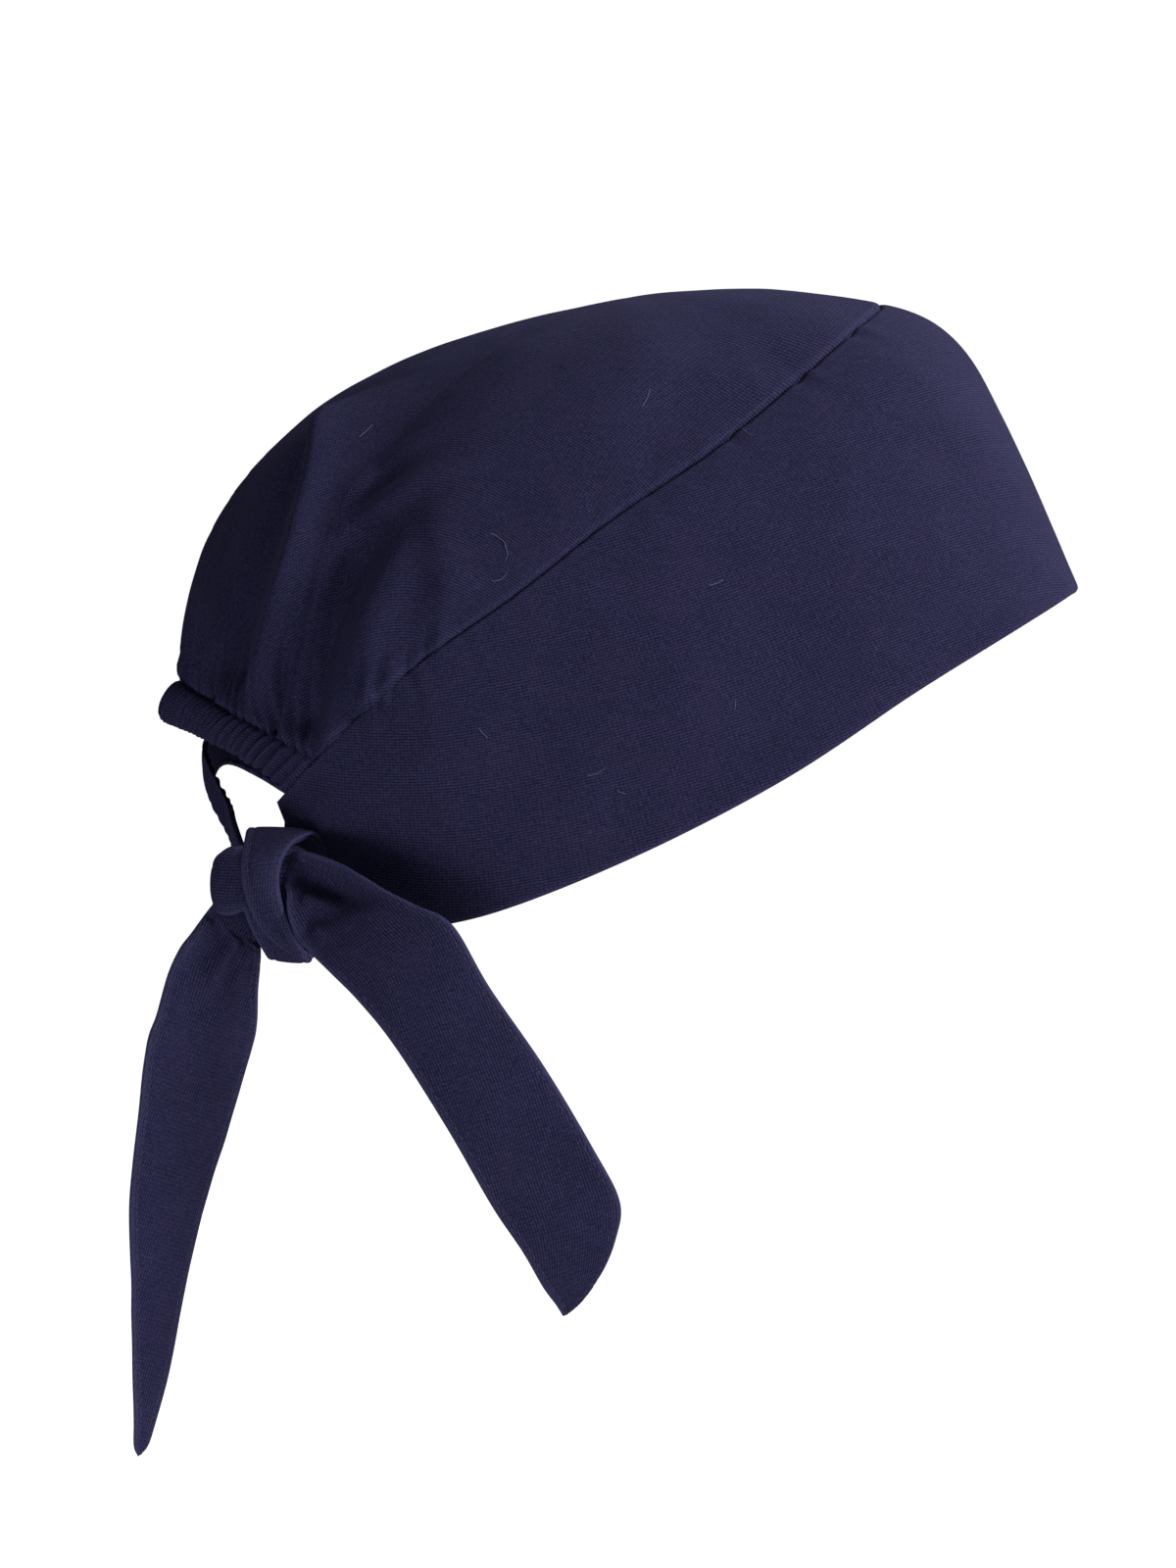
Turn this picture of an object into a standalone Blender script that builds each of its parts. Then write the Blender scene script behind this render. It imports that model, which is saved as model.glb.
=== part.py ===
"""Tie-back scrub cap, shaped as on a head that faces +X. Metres, +Z up.

The origin is the middle of the head opening. A deep band runs round the forehead and sides, and its ends
meet in a knot behind the right ear. The crown is sewn to the band's top edge and gathered at the back
into a ruffled casing. The two tie ends hang from the knot. Near is the side at -Y, far the side at +Y.
"""

import math
from collections import namedtuple

import bmesh
import bpy
from mathutils import Vector

# Head opening, band and crown
HEAD_LENGTH = 0.202
HEAD_WIDTH = 0.150
RIM_FALL = 0.086
BAND_HEIGHT = 0.085
SHOULDER_DEPTH = 0.0180
CROWN_HEIGHT = 0.1062
CROWN_MIDDLE = -0.012
CROWN_TILT = 0.18
FOLD_DEPTH = 0.0058

# Gathered casing at the back
POUCH_DEPTH = 0.0228
POUCH_TUCK = 0.0040
CASING_LIFT = 0.0115
CASING_HEIGHT = 0.0108
CASING_WALL = 0.0030
CASING_FLARE = 0.0016
PLEAT_DEPTH = 0.0008
PLEAT_PITCH = 0.0034

# Cloth, and the gap between pieces that meet
CROWN_CLOTH = 0.0012
BAND_CLOTH = 0.0016
TIE_CLOTH = 0.0016
SEAM_GAP = 0.0005

# Knot and tie ends
KNOT_LENGTH = 0.031
KNOT_DEPTH = 0.0200
KNOT_HEIGHT = 0.032
KNOT_BEARING = 54.0
KNOT_CLEAR = 0.0040
KNOT_SEAT = 0.39
KNOT_FACING = 31.0
KNOT_LEAN = 12.0
WRAP_WIDTH = 0.0125
WRAP_SHIFT = 0.0015
WRAP_CLOTH = 0.0026
TIE_WIDTH = 0.030
LONG_END = 0.132
SHORT_END = 0.118

UP = Vector((0, 0, 1))
NAVY = (0.026, 0.025, 0.060, 1.0)
CLOTH_ROUGHNESS = 0.85

# The band, one row a step back from the middle of the forehead.
# Rim: forward as a share of half the head's length, out as a share of half its width, lift as a share of
# the rim's fall. Top edge, measured from the rim: shares of the band's height. Shoulder: 1 where the band
# rounds over the head, 0 where it stands straight.
BandRow = namedtuple("BandRow", "forward out lift top_forward top_out top_lift shoulder")
FRONT_ROWS = (
    BandRow(1.000, 0.000, 0.402, -0.576, 0.000, 0.828, 1.00),
    BandRow(0.945, 0.347, 0.401, -0.645, 0.047, 0.763, 0.90),
    BandRow(0.770, 0.653, 0.319, -0.660, -0.012, 0.692, 0.65),
    BandRow(0.500, 0.875, 0.158, -0.598, -0.066, 0.671, 0.42),
    BandRow(0.174, 0.987, -0.073, -0.484, -0.082, 0.732, 0.26),
    BandRow(-0.174, 0.987, -0.280, -0.362, -0.035, 0.726, 0.18),
)
NEAR_ROWS = FRONT_ROWS + (
    BandRow(-0.500, 0.867, -0.444, -0.233, 0.047, 0.710, 0.12),
    BandRow(-0.730, 0.707, -0.513, -0.171, 0.082, 0.576, 0.08),
    BandRow(-0.851, 0.507, -0.535, -0.185, 0.047, 0.388, 0.05),
)
FAR_ROWS = FRONT_ROWS + (
    BandRow(-0.500, 0.867, -0.407, -0.233, 0.040, 0.673, 0.12),
    BandRow(-0.800, 0.747, -0.262, -0.110, 0.024, 0.348, 0.08),
    BandRow(-1.020, 0.607, -0.120, -0.030, 0.026, 0.120, 0.00),
    BandRow(-1.088, 0.400, -0.160, -0.018, 0.012, 0.120, 0.00),
    BandRow(-1.097, 0.187, -0.215, -0.012, 0.012, 0.124, 0.00),
    BandRow(-1.072, 0.000, -0.300, -0.012, 0.012, 0.124, 0.00),
    BandRow(-1.080, -0.200, -0.372, -0.006, 0.000, 0.140, 0.00),
    BandRow(-1.079, -0.500, -0.462, 0.000, 0.000, 0.150, 0.00),
)
NEAR_SEAM_END = 7.38
NEAR_CASING_END = 7.90
FAR_SEAM_END = 7.35
FAR_CASING_END = 7.90

# The crown's rise from its edge to its middle, one row for each sixth of the way from the forehead to
# the middle of the back. Lean is in degrees from upright, inwards. Rise and reach are shares of the
# straight line from the edge to the crown's middle.
CrownRow = namedtuple("CrownRow", "rise lean reach")
CROWN_ROWS = (
    CrownRow(0.30, 78.0, 0.35),
    CrownRow(0.33, 50.0, 0.40),
    CrownRow(0.36, 18.0, 0.47),
    CrownRow(0.36, 10.0, 0.47),
    CrownRow(0.39, 5.0, 0.49),
    CrownRow(0.41, 3.0, 0.485),
    CrownRow(0.41, 3.0, 0.495),
)
SEAM_SIXTHS = 4.2
SIXTHS = 6.0

# Folds that run up the crown from the casing. Foot and head are places along the gathered edge, from -1
# at its near end to 1 at its far end and on along the seams. Reach is a share of the way to the crown's
# middle, width a share of half the gathered edge, and height a share of the fold depth, less than 0 in
# a hollow.
FoldRow = namedtuple("FoldRow", "foot head reach width height")
FOLD_ROWS = (
    FoldRow(-1.42, -1.75, 0.40, 0.16, 0.35),
    FoldRow(-1.20, -1.45, 0.50, 0.15, -0.70),
    FoldRow(-0.97, -0.72, 0.42, 0.08, 0.55),
    FoldRow(-0.87, -0.50, 0.34, 0.06, -0.60),
    FoldRow(-0.75, -0.08, 0.64, 0.10, 0.80),
    FoldRow(-0.56, 0.08, 0.56, 0.15, -0.95),
    FoldRow(-0.36, -0.20, 0.26, 0.06, 0.45),
    FoldRow(-0.10, 0.12, 0.42, 0.12, 0.45),
    FoldRow(0.14, 0.34, 0.50, 0.13, -0.75),
    FoldRow(0.37, 0.50, 0.58, 0.11, 0.85),
    FoldRow(0.58, 0.74, 0.38, 0.10, -0.70),
    FoldRow(0.79, 0.90, 0.50, 0.10, 0.70),
    FoldRow(1.02, 1.30, 0.46, 0.14, -0.65),
)

# The knot's inner bundle along its length: half heights and half depths as shares of half the knot's.
BundleRow = namedtuple("BundleRow", "along height depth lift")
BUNDLE_ROWS = (
    BundleRow(-1.00, 0.10, 0.14, 0.20),
    BundleRow(-0.92, 0.34, 0.50, 0.22),
    BundleRow(-0.70, 0.50, 0.74, 0.20),
    BundleRow(-0.42, 0.64, 0.70, 0.08),
    BundleRow(0.00, 0.78, 0.66, 0.00),
    BundleRow(0.45, 0.66, 0.66, 0.02),
    BundleRow(0.72, 0.50, 0.60, 0.10),
    BundleRow(0.92, 0.30, 0.42, 0.16),
    BundleRow(1.00, 0.10, 0.14, 0.18),
)

# The tie ends from the knot to their tips. Forward, out and lift are shares of the end's length, measured
# from the middle of the knot. Width is a share of the tie's width. Turn is about the vertical and slant
# about the way across, both in degrees.
TieRow = namedtuple("TieRow", "forward out lift width turn slant")
LONG_ROWS = (
    TieRow(-0.074, 0.006, -0.066, 0.33, -25, 0),
    TieRow(-0.101, 0.006, -0.122, 0.65, -16, 0),
    TieRow(-0.126, 0.015, -0.200, 0.87, 2, 0),
    TieRow(-0.145, 0.030, -0.290, 0.91, 18, 0),
    TieRow(-0.169, 0.050, -0.400, 0.87, 27, 0),
    TieRow(-0.187, 0.070, -0.510, 0.74, 30, 2),
    TieRow(-0.203, 0.085, -0.640, 0.60, 30, 4),
    TieRow(-0.213, 0.095, -0.760, 0.42, 30, 8),
    TieRow(-0.222, 0.100, -0.880, 0.28, 30, 12),
    TieRow(-0.231, 0.102, -0.980, 0.14, 30, 20),
    TieRow(-0.236, 0.102, -1.020, 0.03, 30, 30),
)
SHORT_ROWS = (
    TieRow(0.052, -0.101, 0.046, 0.30, -20, 70),
    TieRow(0.089, -0.150, -0.029, 0.66, -15, 60),
    TieRow(0.179, -0.215, -0.088, 0.90, -12, 38),
    TieRow(0.244, -0.250, -0.156, 0.95, -8, 32),
    TieRow(0.304, -0.270, -0.240, 0.94, -4, 31),
    TieRow(0.364, -0.278, -0.318, 0.93, 0, 31),
    TieRow(0.459, -0.275, -0.479, 0.93, 0, 31),
    TieRow(0.559, -0.260, -0.640, 0.93, 0, 31),
    TieRow(0.591, -0.255, -0.719, 0.74, 0, 36),
    TieRow(0.577, -0.252, -0.811, 0.20, 0, 42),
)


def clear_scene():
    for old in list(bpy.data.objects):
        bpy.data.objects.remove(old, do_unlink=True)


def smooth(rows, place, before=None, after=None):
    """Every column at a place between the rows, on a curve through all of them."""
    last = len(rows) - 1
    place = min(max(place, 0.0), float(last))
    index = min(int(place), last - 1)
    share = place - index
    first = before or [2 * a - b for a, b in zip(rows[0], rows[1])]
    final = after or [2 * a - b for a, b in zip(rows[last], rows[last - 1])]
    points = (
        rows[index - 1] if index > 0 else first,
        rows[index],
        rows[index + 1],
        rows[index + 2] if index + 2 <= last else final,
    )
    values = []
    for a, b, c, d in zip(*points):
        rise = (c - a) * share
        bend = (2 * a - 5 * b + 4 * c - d) * share**2
        twist = (3 * b - a - 3 * c + d) * share**3
        values.append(b + (rise + bend + twist) / 2)
    return type(rows[0])(*values)


def band_row(side, place):
    rows = NEAR_ROWS if side < 0 else FAR_ROWS
    mirrored = rows[1]._replace(out=-rows[1].out, top_out=-rows[1].top_out)
    return smooth(rows, place, before=mirrored)


def band_rim(side, place):
    row = band_row(side, place)
    return Vector((row.forward * HEAD_LENGTH / 2, side * row.out * HEAD_WIDTH / 2, row.lift * RIM_FALL))


def band_top(side, place):
    row = band_row(side, place)
    return band_rim(side, place) + BAND_HEIGHT * Vector((row.top_forward, side * row.top_out, row.top_lift))


def band_outward(side, place):
    """The way out of the cap, square to the band."""
    step = 0.05
    along = band_rim(side, place + step) - band_rim(side, max(place - step, 0.0))
    along += band_top(side, place + step) - band_top(side, max(place - step, 0.0))
    if place < step:
        along = Vector((0, side, 0))
    chord = band_top(side, place) - band_rim(side, place)
    return chord.cross(along).normalized() * -side


def band_point(side, place, height):
    """A point of the band's outer face. Height runs from 0 at the rim to 1 at the seam."""
    bulge = SHOULDER_DEPTH * band_row(side, place).shoulder * height * (1 - height**5)
    return band_rim(side, place).lerp(band_top(side, place), height) + bulge * band_outward(side, place)


def casing_edge(across, low):
    """The casing's upper edge, or its lower one, from -1 at the near end to 1 at the far end."""
    near = band_top(-1, NEAR_CASING_END if low else NEAR_SEAM_END)
    far = band_top(1, FAR_CASING_END if low else FAR_SEAM_END)
    bow = 1 - abs(across) ** 2.3
    pull = (POUCH_DEPTH - (POUCH_TUCK if low else 0.0)) * bow
    return near.lerp(far, (across + 1) / 2) + Vector((-pull, 0, CASING_LIFT * bow))


def crown_edge(turn):
    """The crown's sewn edge. Turn runs from -6 to 6 round the cap, 0 at the forehead."""
    side = -1 if turn < 0 else 1
    sixths = min(abs(turn), SIXTHS)
    if sixths <= SEAM_SIXTHS:
        end = NEAR_SEAM_END if side < 0 else FAR_SEAM_END
        return band_top(side, end * sixths / SEAM_SIXTHS)
    return casing_edge(side * (SIXTHS - sixths) / (SIXTHS - SEAM_SIXTHS), False)


def crown_middle():
    return Vector((CROWN_MIDDLE, 0, CROWN_HEIGHT))


def crown_start(turn):
    """The way the crown sets off from its edge, and how far its two handles reach."""
    row = smooth(CROWN_ROWS, abs(turn), before=CROWN_ROWS[1], after=CROWN_ROWS[5])
    straight = crown_middle() - crown_edge(turn)
    inward = Vector((straight.x, straight.y, 0)).normalized()
    lean = math.radians(row.lean)
    return UP * math.cos(lean) + inward * math.sin(lean), row, straight


def crown_smooth_point(turn, height):
    """The crown without its folds. Height runs from 0 at the edge to 1 at the crown's middle."""
    start, row, straight = crown_start(turn)
    edge = crown_edge(turn)
    middle = crown_middle()
    level = Vector((-straight.x, -straight.y, 0)).normalized()
    level.z = level.x * CROWN_TILT
    first = edge + start * straight.length * row.rise
    second = middle + level * straight.length * row.reach
    rest = 1 - height
    return (
        edge * rest**3
        + first * 3 * rest**2 * height
        + second * 3 * rest * height**2
        + middle * height**3
    )


def fold_height(turn, height):
    """How far the crown's folds lift it at one point."""
    gathered = math.copysign((SIXTHS - abs(turn)) / (SIXTHS - SEAM_SIXTHS), turn)
    total = 0.0
    for row in FOLD_ROWS:
        way = height / row.reach
        if way >= 1:
            continue
        centre = row.foot + (row.head - row.foot) * way**0.8
        offset = (gathered - centre) / (row.width * (1 + 0.8 * way))
        total += row.height * math.exp(-offset * offset) * (1 - way) ** 1.2 * min(1.0, 6 * way)
    return FOLD_DEPTH * total


def crown_point(turn, height):
    step = 0.02
    here = crown_smooth_point(turn, height)
    beside = crown_smooth_point(turn + step, height) - crown_smooth_point(turn - step, height)
    above = crown_smooth_point(turn, min(height + step, 1.0)) - crown_smooth_point(turn, height - step)
    return here + beside.cross(above).normalized() * fold_height(turn, height)


def make_object(name, bm):
    """One closed body with its own cloth, smooth on its faces and sharp at its cut edges."""
    bmesh.ops.recalc_face_normals(bm, faces=bm.faces)
    mesh = bpy.data.meshes.new(name)
    bm.to_mesh(mesh)
    bm.free()
    mesh.shade_smooth()
    mesh.set_sharp_from_angle(angle=math.radians(50))
    material = bpy.data.materials.new(name + "_cloth")
    material.use_nodes = True
    shader = material.node_tree.nodes["Principled BSDF"]
    shader.inputs["Base Color"].default_value = NAVY
    shader.inputs["Roughness"].default_value = CLOTH_ROUGHNESS
    shader.inputs["Metallic"].default_value = 0.0
    material.diffuse_color = NAVY
    mesh.materials.append(material)
    obj = bpy.data.objects.new(name, mesh)
    bpy.context.scene.collection.objects.link(obj)
    return obj


def grid_normals(grid, loop):
    """The way out at each point of a grid of columns, from its neighbours."""
    columns = len(grid)
    rows = len(grid[0])
    normals = []
    for i in range(columns):
        left = grid[i - 1] if loop or i > 0 else grid[i]
        right = grid[(i + 1) % columns] if loop or i < columns - 1 else grid[i]
        normals.append([])
        for j in range(rows):
            across = right[j] - left[j]
            upward = grid[i][min(j + 1, rows - 1)] - grid[i][max(j - 1, 0)]
            normals[i].append(across.cross(upward).normalized())
    return normals


def cloth_wall(name, grid, depths, loop=False, middle=None, seam_normals=None):
    """A wall of cloth between a grid of outer points and its copy set in, closed at its cut edges."""
    outward, inward = depths
    normals = grid_normals(grid, loop)
    if seam_normals:
        row = seam_normals["row"]
        for i, normal in enumerate(seam_normals["ways"]):
            if normal is not None:
                normals[i][row] = normal
    bm = bmesh.new()
    outer = []
    inner = []
    for points, ways in zip(grid, normals):
        outer.append([bm.verts.new(p + n * outward) for p, n in zip(points, ways)])
        inner.append([bm.verts.new(p - n * inward) for p, n in zip(points, ways)])
    columns = len(grid)
    rows = len(grid[0])
    spans = columns if loop else columns - 1
    for i in range(spans):
        k = (i + 1) % columns
        for j in range(rows - 1):
            bm.faces.new((outer[i][j], outer[k][j], outer[k][j + 1], outer[i][j + 1]))
            bm.faces.new((inner[i][j], inner[i][j + 1], inner[k][j + 1], inner[k][j]))
        bm.faces.new((outer[i][0], inner[i][0], inner[k][0], outer[k][0]))
        if middle is None:
            bm.faces.new((outer[i][-1], outer[k][-1], inner[k][-1], inner[i][-1]))
    if middle is not None:
        top = bm.verts.new(middle + UP * outward)
        under = bm.verts.new(middle - UP * inward)
        for i in range(spans):
            k = (i + 1) % columns
            bm.faces.new((outer[i][-1], outer[k][-1], top))
            bm.faces.new((inner[k][-1], inner[i][-1], under))
    if not loop:
        for i in (0, columns - 1):
            for j in range(rows - 1):
                bm.faces.new((outer[i][j], outer[i][j + 1], inner[i][j + 1], inner[i][j]))
    return make_object(name, bm)


def ringed_body(name, rings, closed):
    """A body skinned over rings of points. Closed joins the last ring to the first."""
    bm = bmesh.new()
    loops = [[bm.verts.new(p) for p in ring] for ring in rings]
    count = len(loops[0])
    spans = len(loops) if closed else len(loops) - 1
    for i in range(spans):
        k = (i + 1) % len(loops)
        for j in range(count):
            m = (j + 1) % count
            bm.faces.new((loops[i][j], loops[i][m], loops[k][m], loops[k][j]))
    if not closed:
        bm.faces.new(loops[0])
        bm.faces.new(loops[-1])
    return make_object(name, bm)


def spread(start, end, count):
    return [start + (end - start) * i / count for i in range(count + 1)]


def seam_frame(turn):
    """At the crown's edge: the way out and the way up through the seam, shared by both its pieces."""
    step = 0.01
    along = (crown_edge(turn + step) - crown_edge(turn - step)).normalized()
    side = -1 if turn < 0 else 1
    if abs(turn) <= SEAM_SIXTHS:
        place = abs(turn) * (NEAR_SEAM_END if side < 0 else FAR_SEAM_END) / SEAM_SIXTHS
        below = band_point(side, place, 1.0) - band_point(side, place, 0.94)
    else:
        across = side * (SIXTHS - abs(turn)) / (SIXTHS - SEAM_SIXTHS)
        below = casing_edge(across, False) - casing_edge(across, True)
    start = crown_start(turn)[0]
    upward = below.normalized() + start
    upward = (upward - along * upward.dot(along)).normalized()
    return along.cross(upward), upward


def make_crown():
    heights = (0.0, 0.05, 0.11, 0.18, 0.26, 0.35, 0.45, 0.56, 0.68, 0.80, 0.91)
    turns = spread(-SIXTHS, -3.6, 34)[:-1] + spread(-3.6, 3.6, 30)[:-1] + spread(3.6, SIXTHS, 30)[:-1]
    grid = []
    ways = []
    for turn in turns:
        outward, upward = seam_frame(turn)
        column = [crown_point(turn, height) for height in heights[1:]]
        grid.append([crown_edge(turn) + upward * SEAM_GAP] + column)
        ways.append(outward)
    return cloth_wall("crown", grid, (0.0, CROWN_CLOTH), loop=True, middle=crown_middle(),
                      seam_normals={"row": 0, "ways": ways})


def seam_turn(side, place):
    """The crown's turn above one place of the band, or None past the seam's end."""
    end = NEAR_SEAM_END if side < 0 else FAR_SEAM_END
    return side * SEAM_SIXTHS * place / end if place <= end else None


def make_band():
    heights = (0.0, 0.25, 0.5, 0.7, 0.85, 0.95, 1.0)
    near_places = spread(len(NEAR_ROWS) - 1, NEAR_SEAM_END, 6)[:-1] + spread(NEAR_SEAM_END, 0, 24)[:-1]
    far_places = spread(0, FAR_SEAM_END, 24)[:-1] + spread(FAR_SEAM_END, len(FAR_ROWS) - 1, 22)
    grid = []
    ways = []
    for side, places in ((-1, near_places), (1, far_places)):
        for place in places:
            grid.append([band_point(side, place, height) for height in heights])
            turn = seam_turn(side, place)
            ways.append(None if turn is None else seam_frame(turn)[0])
    return cloth_wall("headband", grid, (0.0, BAND_CLOTH), seam_normals={"row": len(heights) - 1, "ways": ways})


def make_casing():
    """The gathered casing: a flat tube with a pleated outer face, from seam to seam round the back."""
    length = sum((casing_edge(a, False) - casing_edge(b, False)).length
                 for a, b in zip(spread(-1, 0.98, 99), spread(-0.98, 1, 99)))
    pleats = max(round(length / PLEAT_PITCH), 3)
    end_gap = SEAM_GAP * 4 / length
    places = spread(-1 + end_gap, 1 - end_gap, pleats * 4)
    shares = (0.0, 0.10, 0.50, 0.90, 1.0)
    rings = []
    for index, across in enumerate(places):
        top = casing_edge(across, False)
        low = casing_edge(across, True)
        step = 0.01
        along = (casing_edge(across + step, False) - casing_edge(across - step, False)).normalized()
        down = (low - top).normalized()
        middle = 1 - abs(across) ** 4
        band = band_outward(-1, NEAR_SEAM_END) if across < 0 else band_outward(1, FAR_SEAM_END)
        outward = band.lerp(along.cross(down).normalized(), middle).normalized()
        height = CASING_HEIGHT * middle + (low - top).length * (1 - middle)
        fold = math.cos(math.tau * index / 4)
        face = []
        back = []
        for share in shares:
            puff = math.sin(math.pi * min(share, 0.90) / 0.90) * CASING_FLARE * middle
            pleat = PLEAT_DEPTH * fold * middle * min(1.0, 2.5 * share + 0.2)
            at = top + down * (SEAM_GAP + (height - SEAM_GAP) * share + pleat * share**4)
            rounding = CASING_WALL * (0.25 if share in (0.0, 1.0) else 0.0)
            face.append(at + outward * (puff + pleat - rounding))
            back.append(at + outward * (puff - CASING_WALL + rounding))
        rings.append(face + back[::-1])
    return ringed_body("elastic_casing", rings, closed=False)


def knot_frame():
    """The knot's middle, the way along it towards the front, the way out and the way up."""
    facing = math.radians(KNOT_FACING)
    outward = Vector((-math.sin(facing), -math.cos(facing), 0))
    level = outward.cross(UP) * -1
    lean = math.radians(KNOT_LEAN)
    upward = UP * math.cos(lean) - level * math.sin(lean)
    along = level * math.cos(lean) + UP * math.sin(lean)
    bearing = math.radians(KNOT_BEARING)
    square = Vector((-math.cos(bearing), -math.sin(bearing), 0))
    lengthways = KNOT_LENGTH / 2 * level.dot(square)
    crossways = KNOT_DEPTH / 2 * outward.dot(square)
    seat = band_point(-1, len(NEAR_ROWS) - 1, KNOT_SEAT)
    return seat + square * (math.hypot(lengthways, crossways) + KNOT_CLEAR), along, outward, upward


def oval(centre, first, second, count, power=1.0):
    """Points round an oval whose half axes are given. A power under 1 squares it."""
    points = []
    for i in range(count):
        turn = math.tau * i / count
        across = math.copysign(abs(math.cos(turn)) ** power, math.cos(turn))
        up = math.copysign(abs(math.sin(turn)) ** power, math.sin(turn))
        points.append(centre + first * across + second * up)
    return points


def make_knot_bundle():
    centre, along, outward, upward = knot_frame()
    inside = WRAP_CLOTH + SEAM_GAP
    rings = []
    for place in spread(0, len(BUNDLE_ROWS) - 1, 20):
        row = smooth(BUNDLE_ROWS, place)
        middle = centre + along * row.along * KNOT_LENGTH / 2 + upward * row.lift * KNOT_HEIGHT / 2
        tall = row.height * (KNOT_HEIGHT / 2 - inside)
        deep = row.depth * (KNOT_DEPTH / 2 - inside) / 0.7
        rings.append(oval(middle, outward * deep, upward * tall, 16, 0.85))
    return ringed_body("knot_bundle", rings, closed=False)


def make_knot_wrap():
    """The strap that goes once round the bundle."""
    centre, along, outward, upward = knot_frame()
    rings = []
    count = 28
    half = WRAP_WIDTH / 2
    for i in range(count):
        turn = math.tau * i / count
        tall = KNOT_HEIGHT / 2
        deep = KNOT_DEPTH / 2
        ring = []
        for across, depth in ((-1, 0.35), (-0.8, 0.0), (0, -0.12), (0.8, 0.0), (1, 0.35),
                              (1, 0.75), (0.8, 1.0), (-0.8, 1.0), (-1, 0.75)):
            drop = WRAP_CLOTH * depth
            at = centre + outward * (deep - drop) * math.cos(turn) + upward * (tall - drop) * math.sin(turn)
            ring.append(at + along * (across * half + WRAP_SHIFT))
        rings.append(ring)
    return ringed_body("knot_wrap", rings, closed=True)


def make_tie_end(name, rows, length, steps):
    """One tie end: a double layer of cloth, slightly hollow across."""
    centre = knot_frame()[0]
    across = (-0.5, -0.25, 0.0, 0.25, 0.5)
    grid = []
    for place in spread(0, len(rows) - 1, steps):
        row = smooth(rows, place)
        middle = centre + length * Vector((row.forward, row.out, row.lift))
        turn = math.radians(row.turn)
        slant = math.radians(row.slant)
        way = Vector((math.cos(slant) * math.cos(turn), math.cos(slant) * math.sin(turn), math.sin(slant)))
        width = max(row.width, 0.02) * TIE_WIDTH
        grid.append([middle + way * width * share for share in across])
    return cloth_wall(name, grid, (TIE_CLOTH / 2, TIE_CLOTH / 2))


def build():
    clear_scene()
    cap = bpy.data.objects.new("cap_on_head", None)
    bpy.context.scene.collection.objects.link(cap)
    pieces = (
        make_crown(),
        make_band(),
        make_casing(),
        make_knot_bundle(),
        make_knot_wrap(),
        make_tie_end("long_tie_end", LONG_ROWS, LONG_END, 30),
        make_tie_end("short_tie_end", SHORT_ROWS, SHORT_END, 26),
    )
    for piece in pieces:
        piece.parent = cap


build()
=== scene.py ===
"""Tie-back scrub cap in navy twill, shaped as on a head that faces +X. Metres, +Z up."""

import math
import random
from collections import namedtuple

import bmesh
import bpy
import numpy as np
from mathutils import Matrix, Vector, noise


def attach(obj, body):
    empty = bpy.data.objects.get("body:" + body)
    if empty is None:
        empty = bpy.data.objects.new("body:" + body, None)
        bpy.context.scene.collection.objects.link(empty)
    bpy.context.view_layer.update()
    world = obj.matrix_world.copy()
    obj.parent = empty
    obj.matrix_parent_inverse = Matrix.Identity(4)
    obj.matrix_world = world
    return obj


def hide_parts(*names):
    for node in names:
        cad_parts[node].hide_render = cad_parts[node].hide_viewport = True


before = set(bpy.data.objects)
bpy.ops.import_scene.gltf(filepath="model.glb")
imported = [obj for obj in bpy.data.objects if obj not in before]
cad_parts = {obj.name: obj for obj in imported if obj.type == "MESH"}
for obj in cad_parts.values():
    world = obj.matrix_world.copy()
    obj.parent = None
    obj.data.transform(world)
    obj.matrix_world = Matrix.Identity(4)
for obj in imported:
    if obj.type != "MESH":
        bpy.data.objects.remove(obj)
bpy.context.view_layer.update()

bl_info = {
    "name": "Scrub cap",
    "version": (1, 0, 0),
    "blender": (4, 5, 0),
    "location": "3D View > Sidebar > Scrub cap",
    "description": "Makes the cloth, casing, knot, tie ends and threads of a tie-back scrub cap",
    "category": "Add Mesh",
}

MM = 0.001
TO_MM = 1000

# The cap's form, as its solids have it
HEAD_LENGTH = 0.202
HEAD_WIDTH = 0.150
RIM_FALL = 0.086
BAND_HEIGHT = 0.085
SHOULDER_DEPTH = 0.0180
CROWN_HEIGHT = 0.1062
CROWN_MIDDLE = -0.012
CROWN_TILT = 0.18
POUCH_DEPTH = 0.0228
POUCH_TUCK = 0.0040
CASING_LIFT = 0.0115
CASING_HEIGHT = 0.0108
CASING_WALL = 0.0030
NEAR_SEAM_END = 7.38
NEAR_CASING_END = 7.90
FAR_SEAM_END = 7.35
FAR_CASING_END = 7.90
SEAM_SIXTHS = 4.2
SIXTHS = 6.0
KNOT_MIDDLE = Vector((-0.1021, -0.0499, -0.0330))

# The side view: the ways to the right, up and towards the viewer in it
RIGHT = Vector((0.9903, -0.1392, 0.0))
RISE = Vector((0.0097, 0.0691, 0.9976))
NEAR = Vector((-0.1389, -0.9879, 0.0698))

# The picture that the camera frames: the side view from 3 m, and the pixel that shows the origin
PIXEL = 0.00024
FRAME = (1200, 1600)
ORIGIN_PIXEL = (683, 748)
CAMERA_DISTANCE = 3.0
SENSOR = 36.0
FLOOR_RADIUS = 60.0
FLOOR_RIM = 56.0
FLOOR_DROP = 0.42
LAMP_AIM = Vector((0, 0, 0.02))

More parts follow.
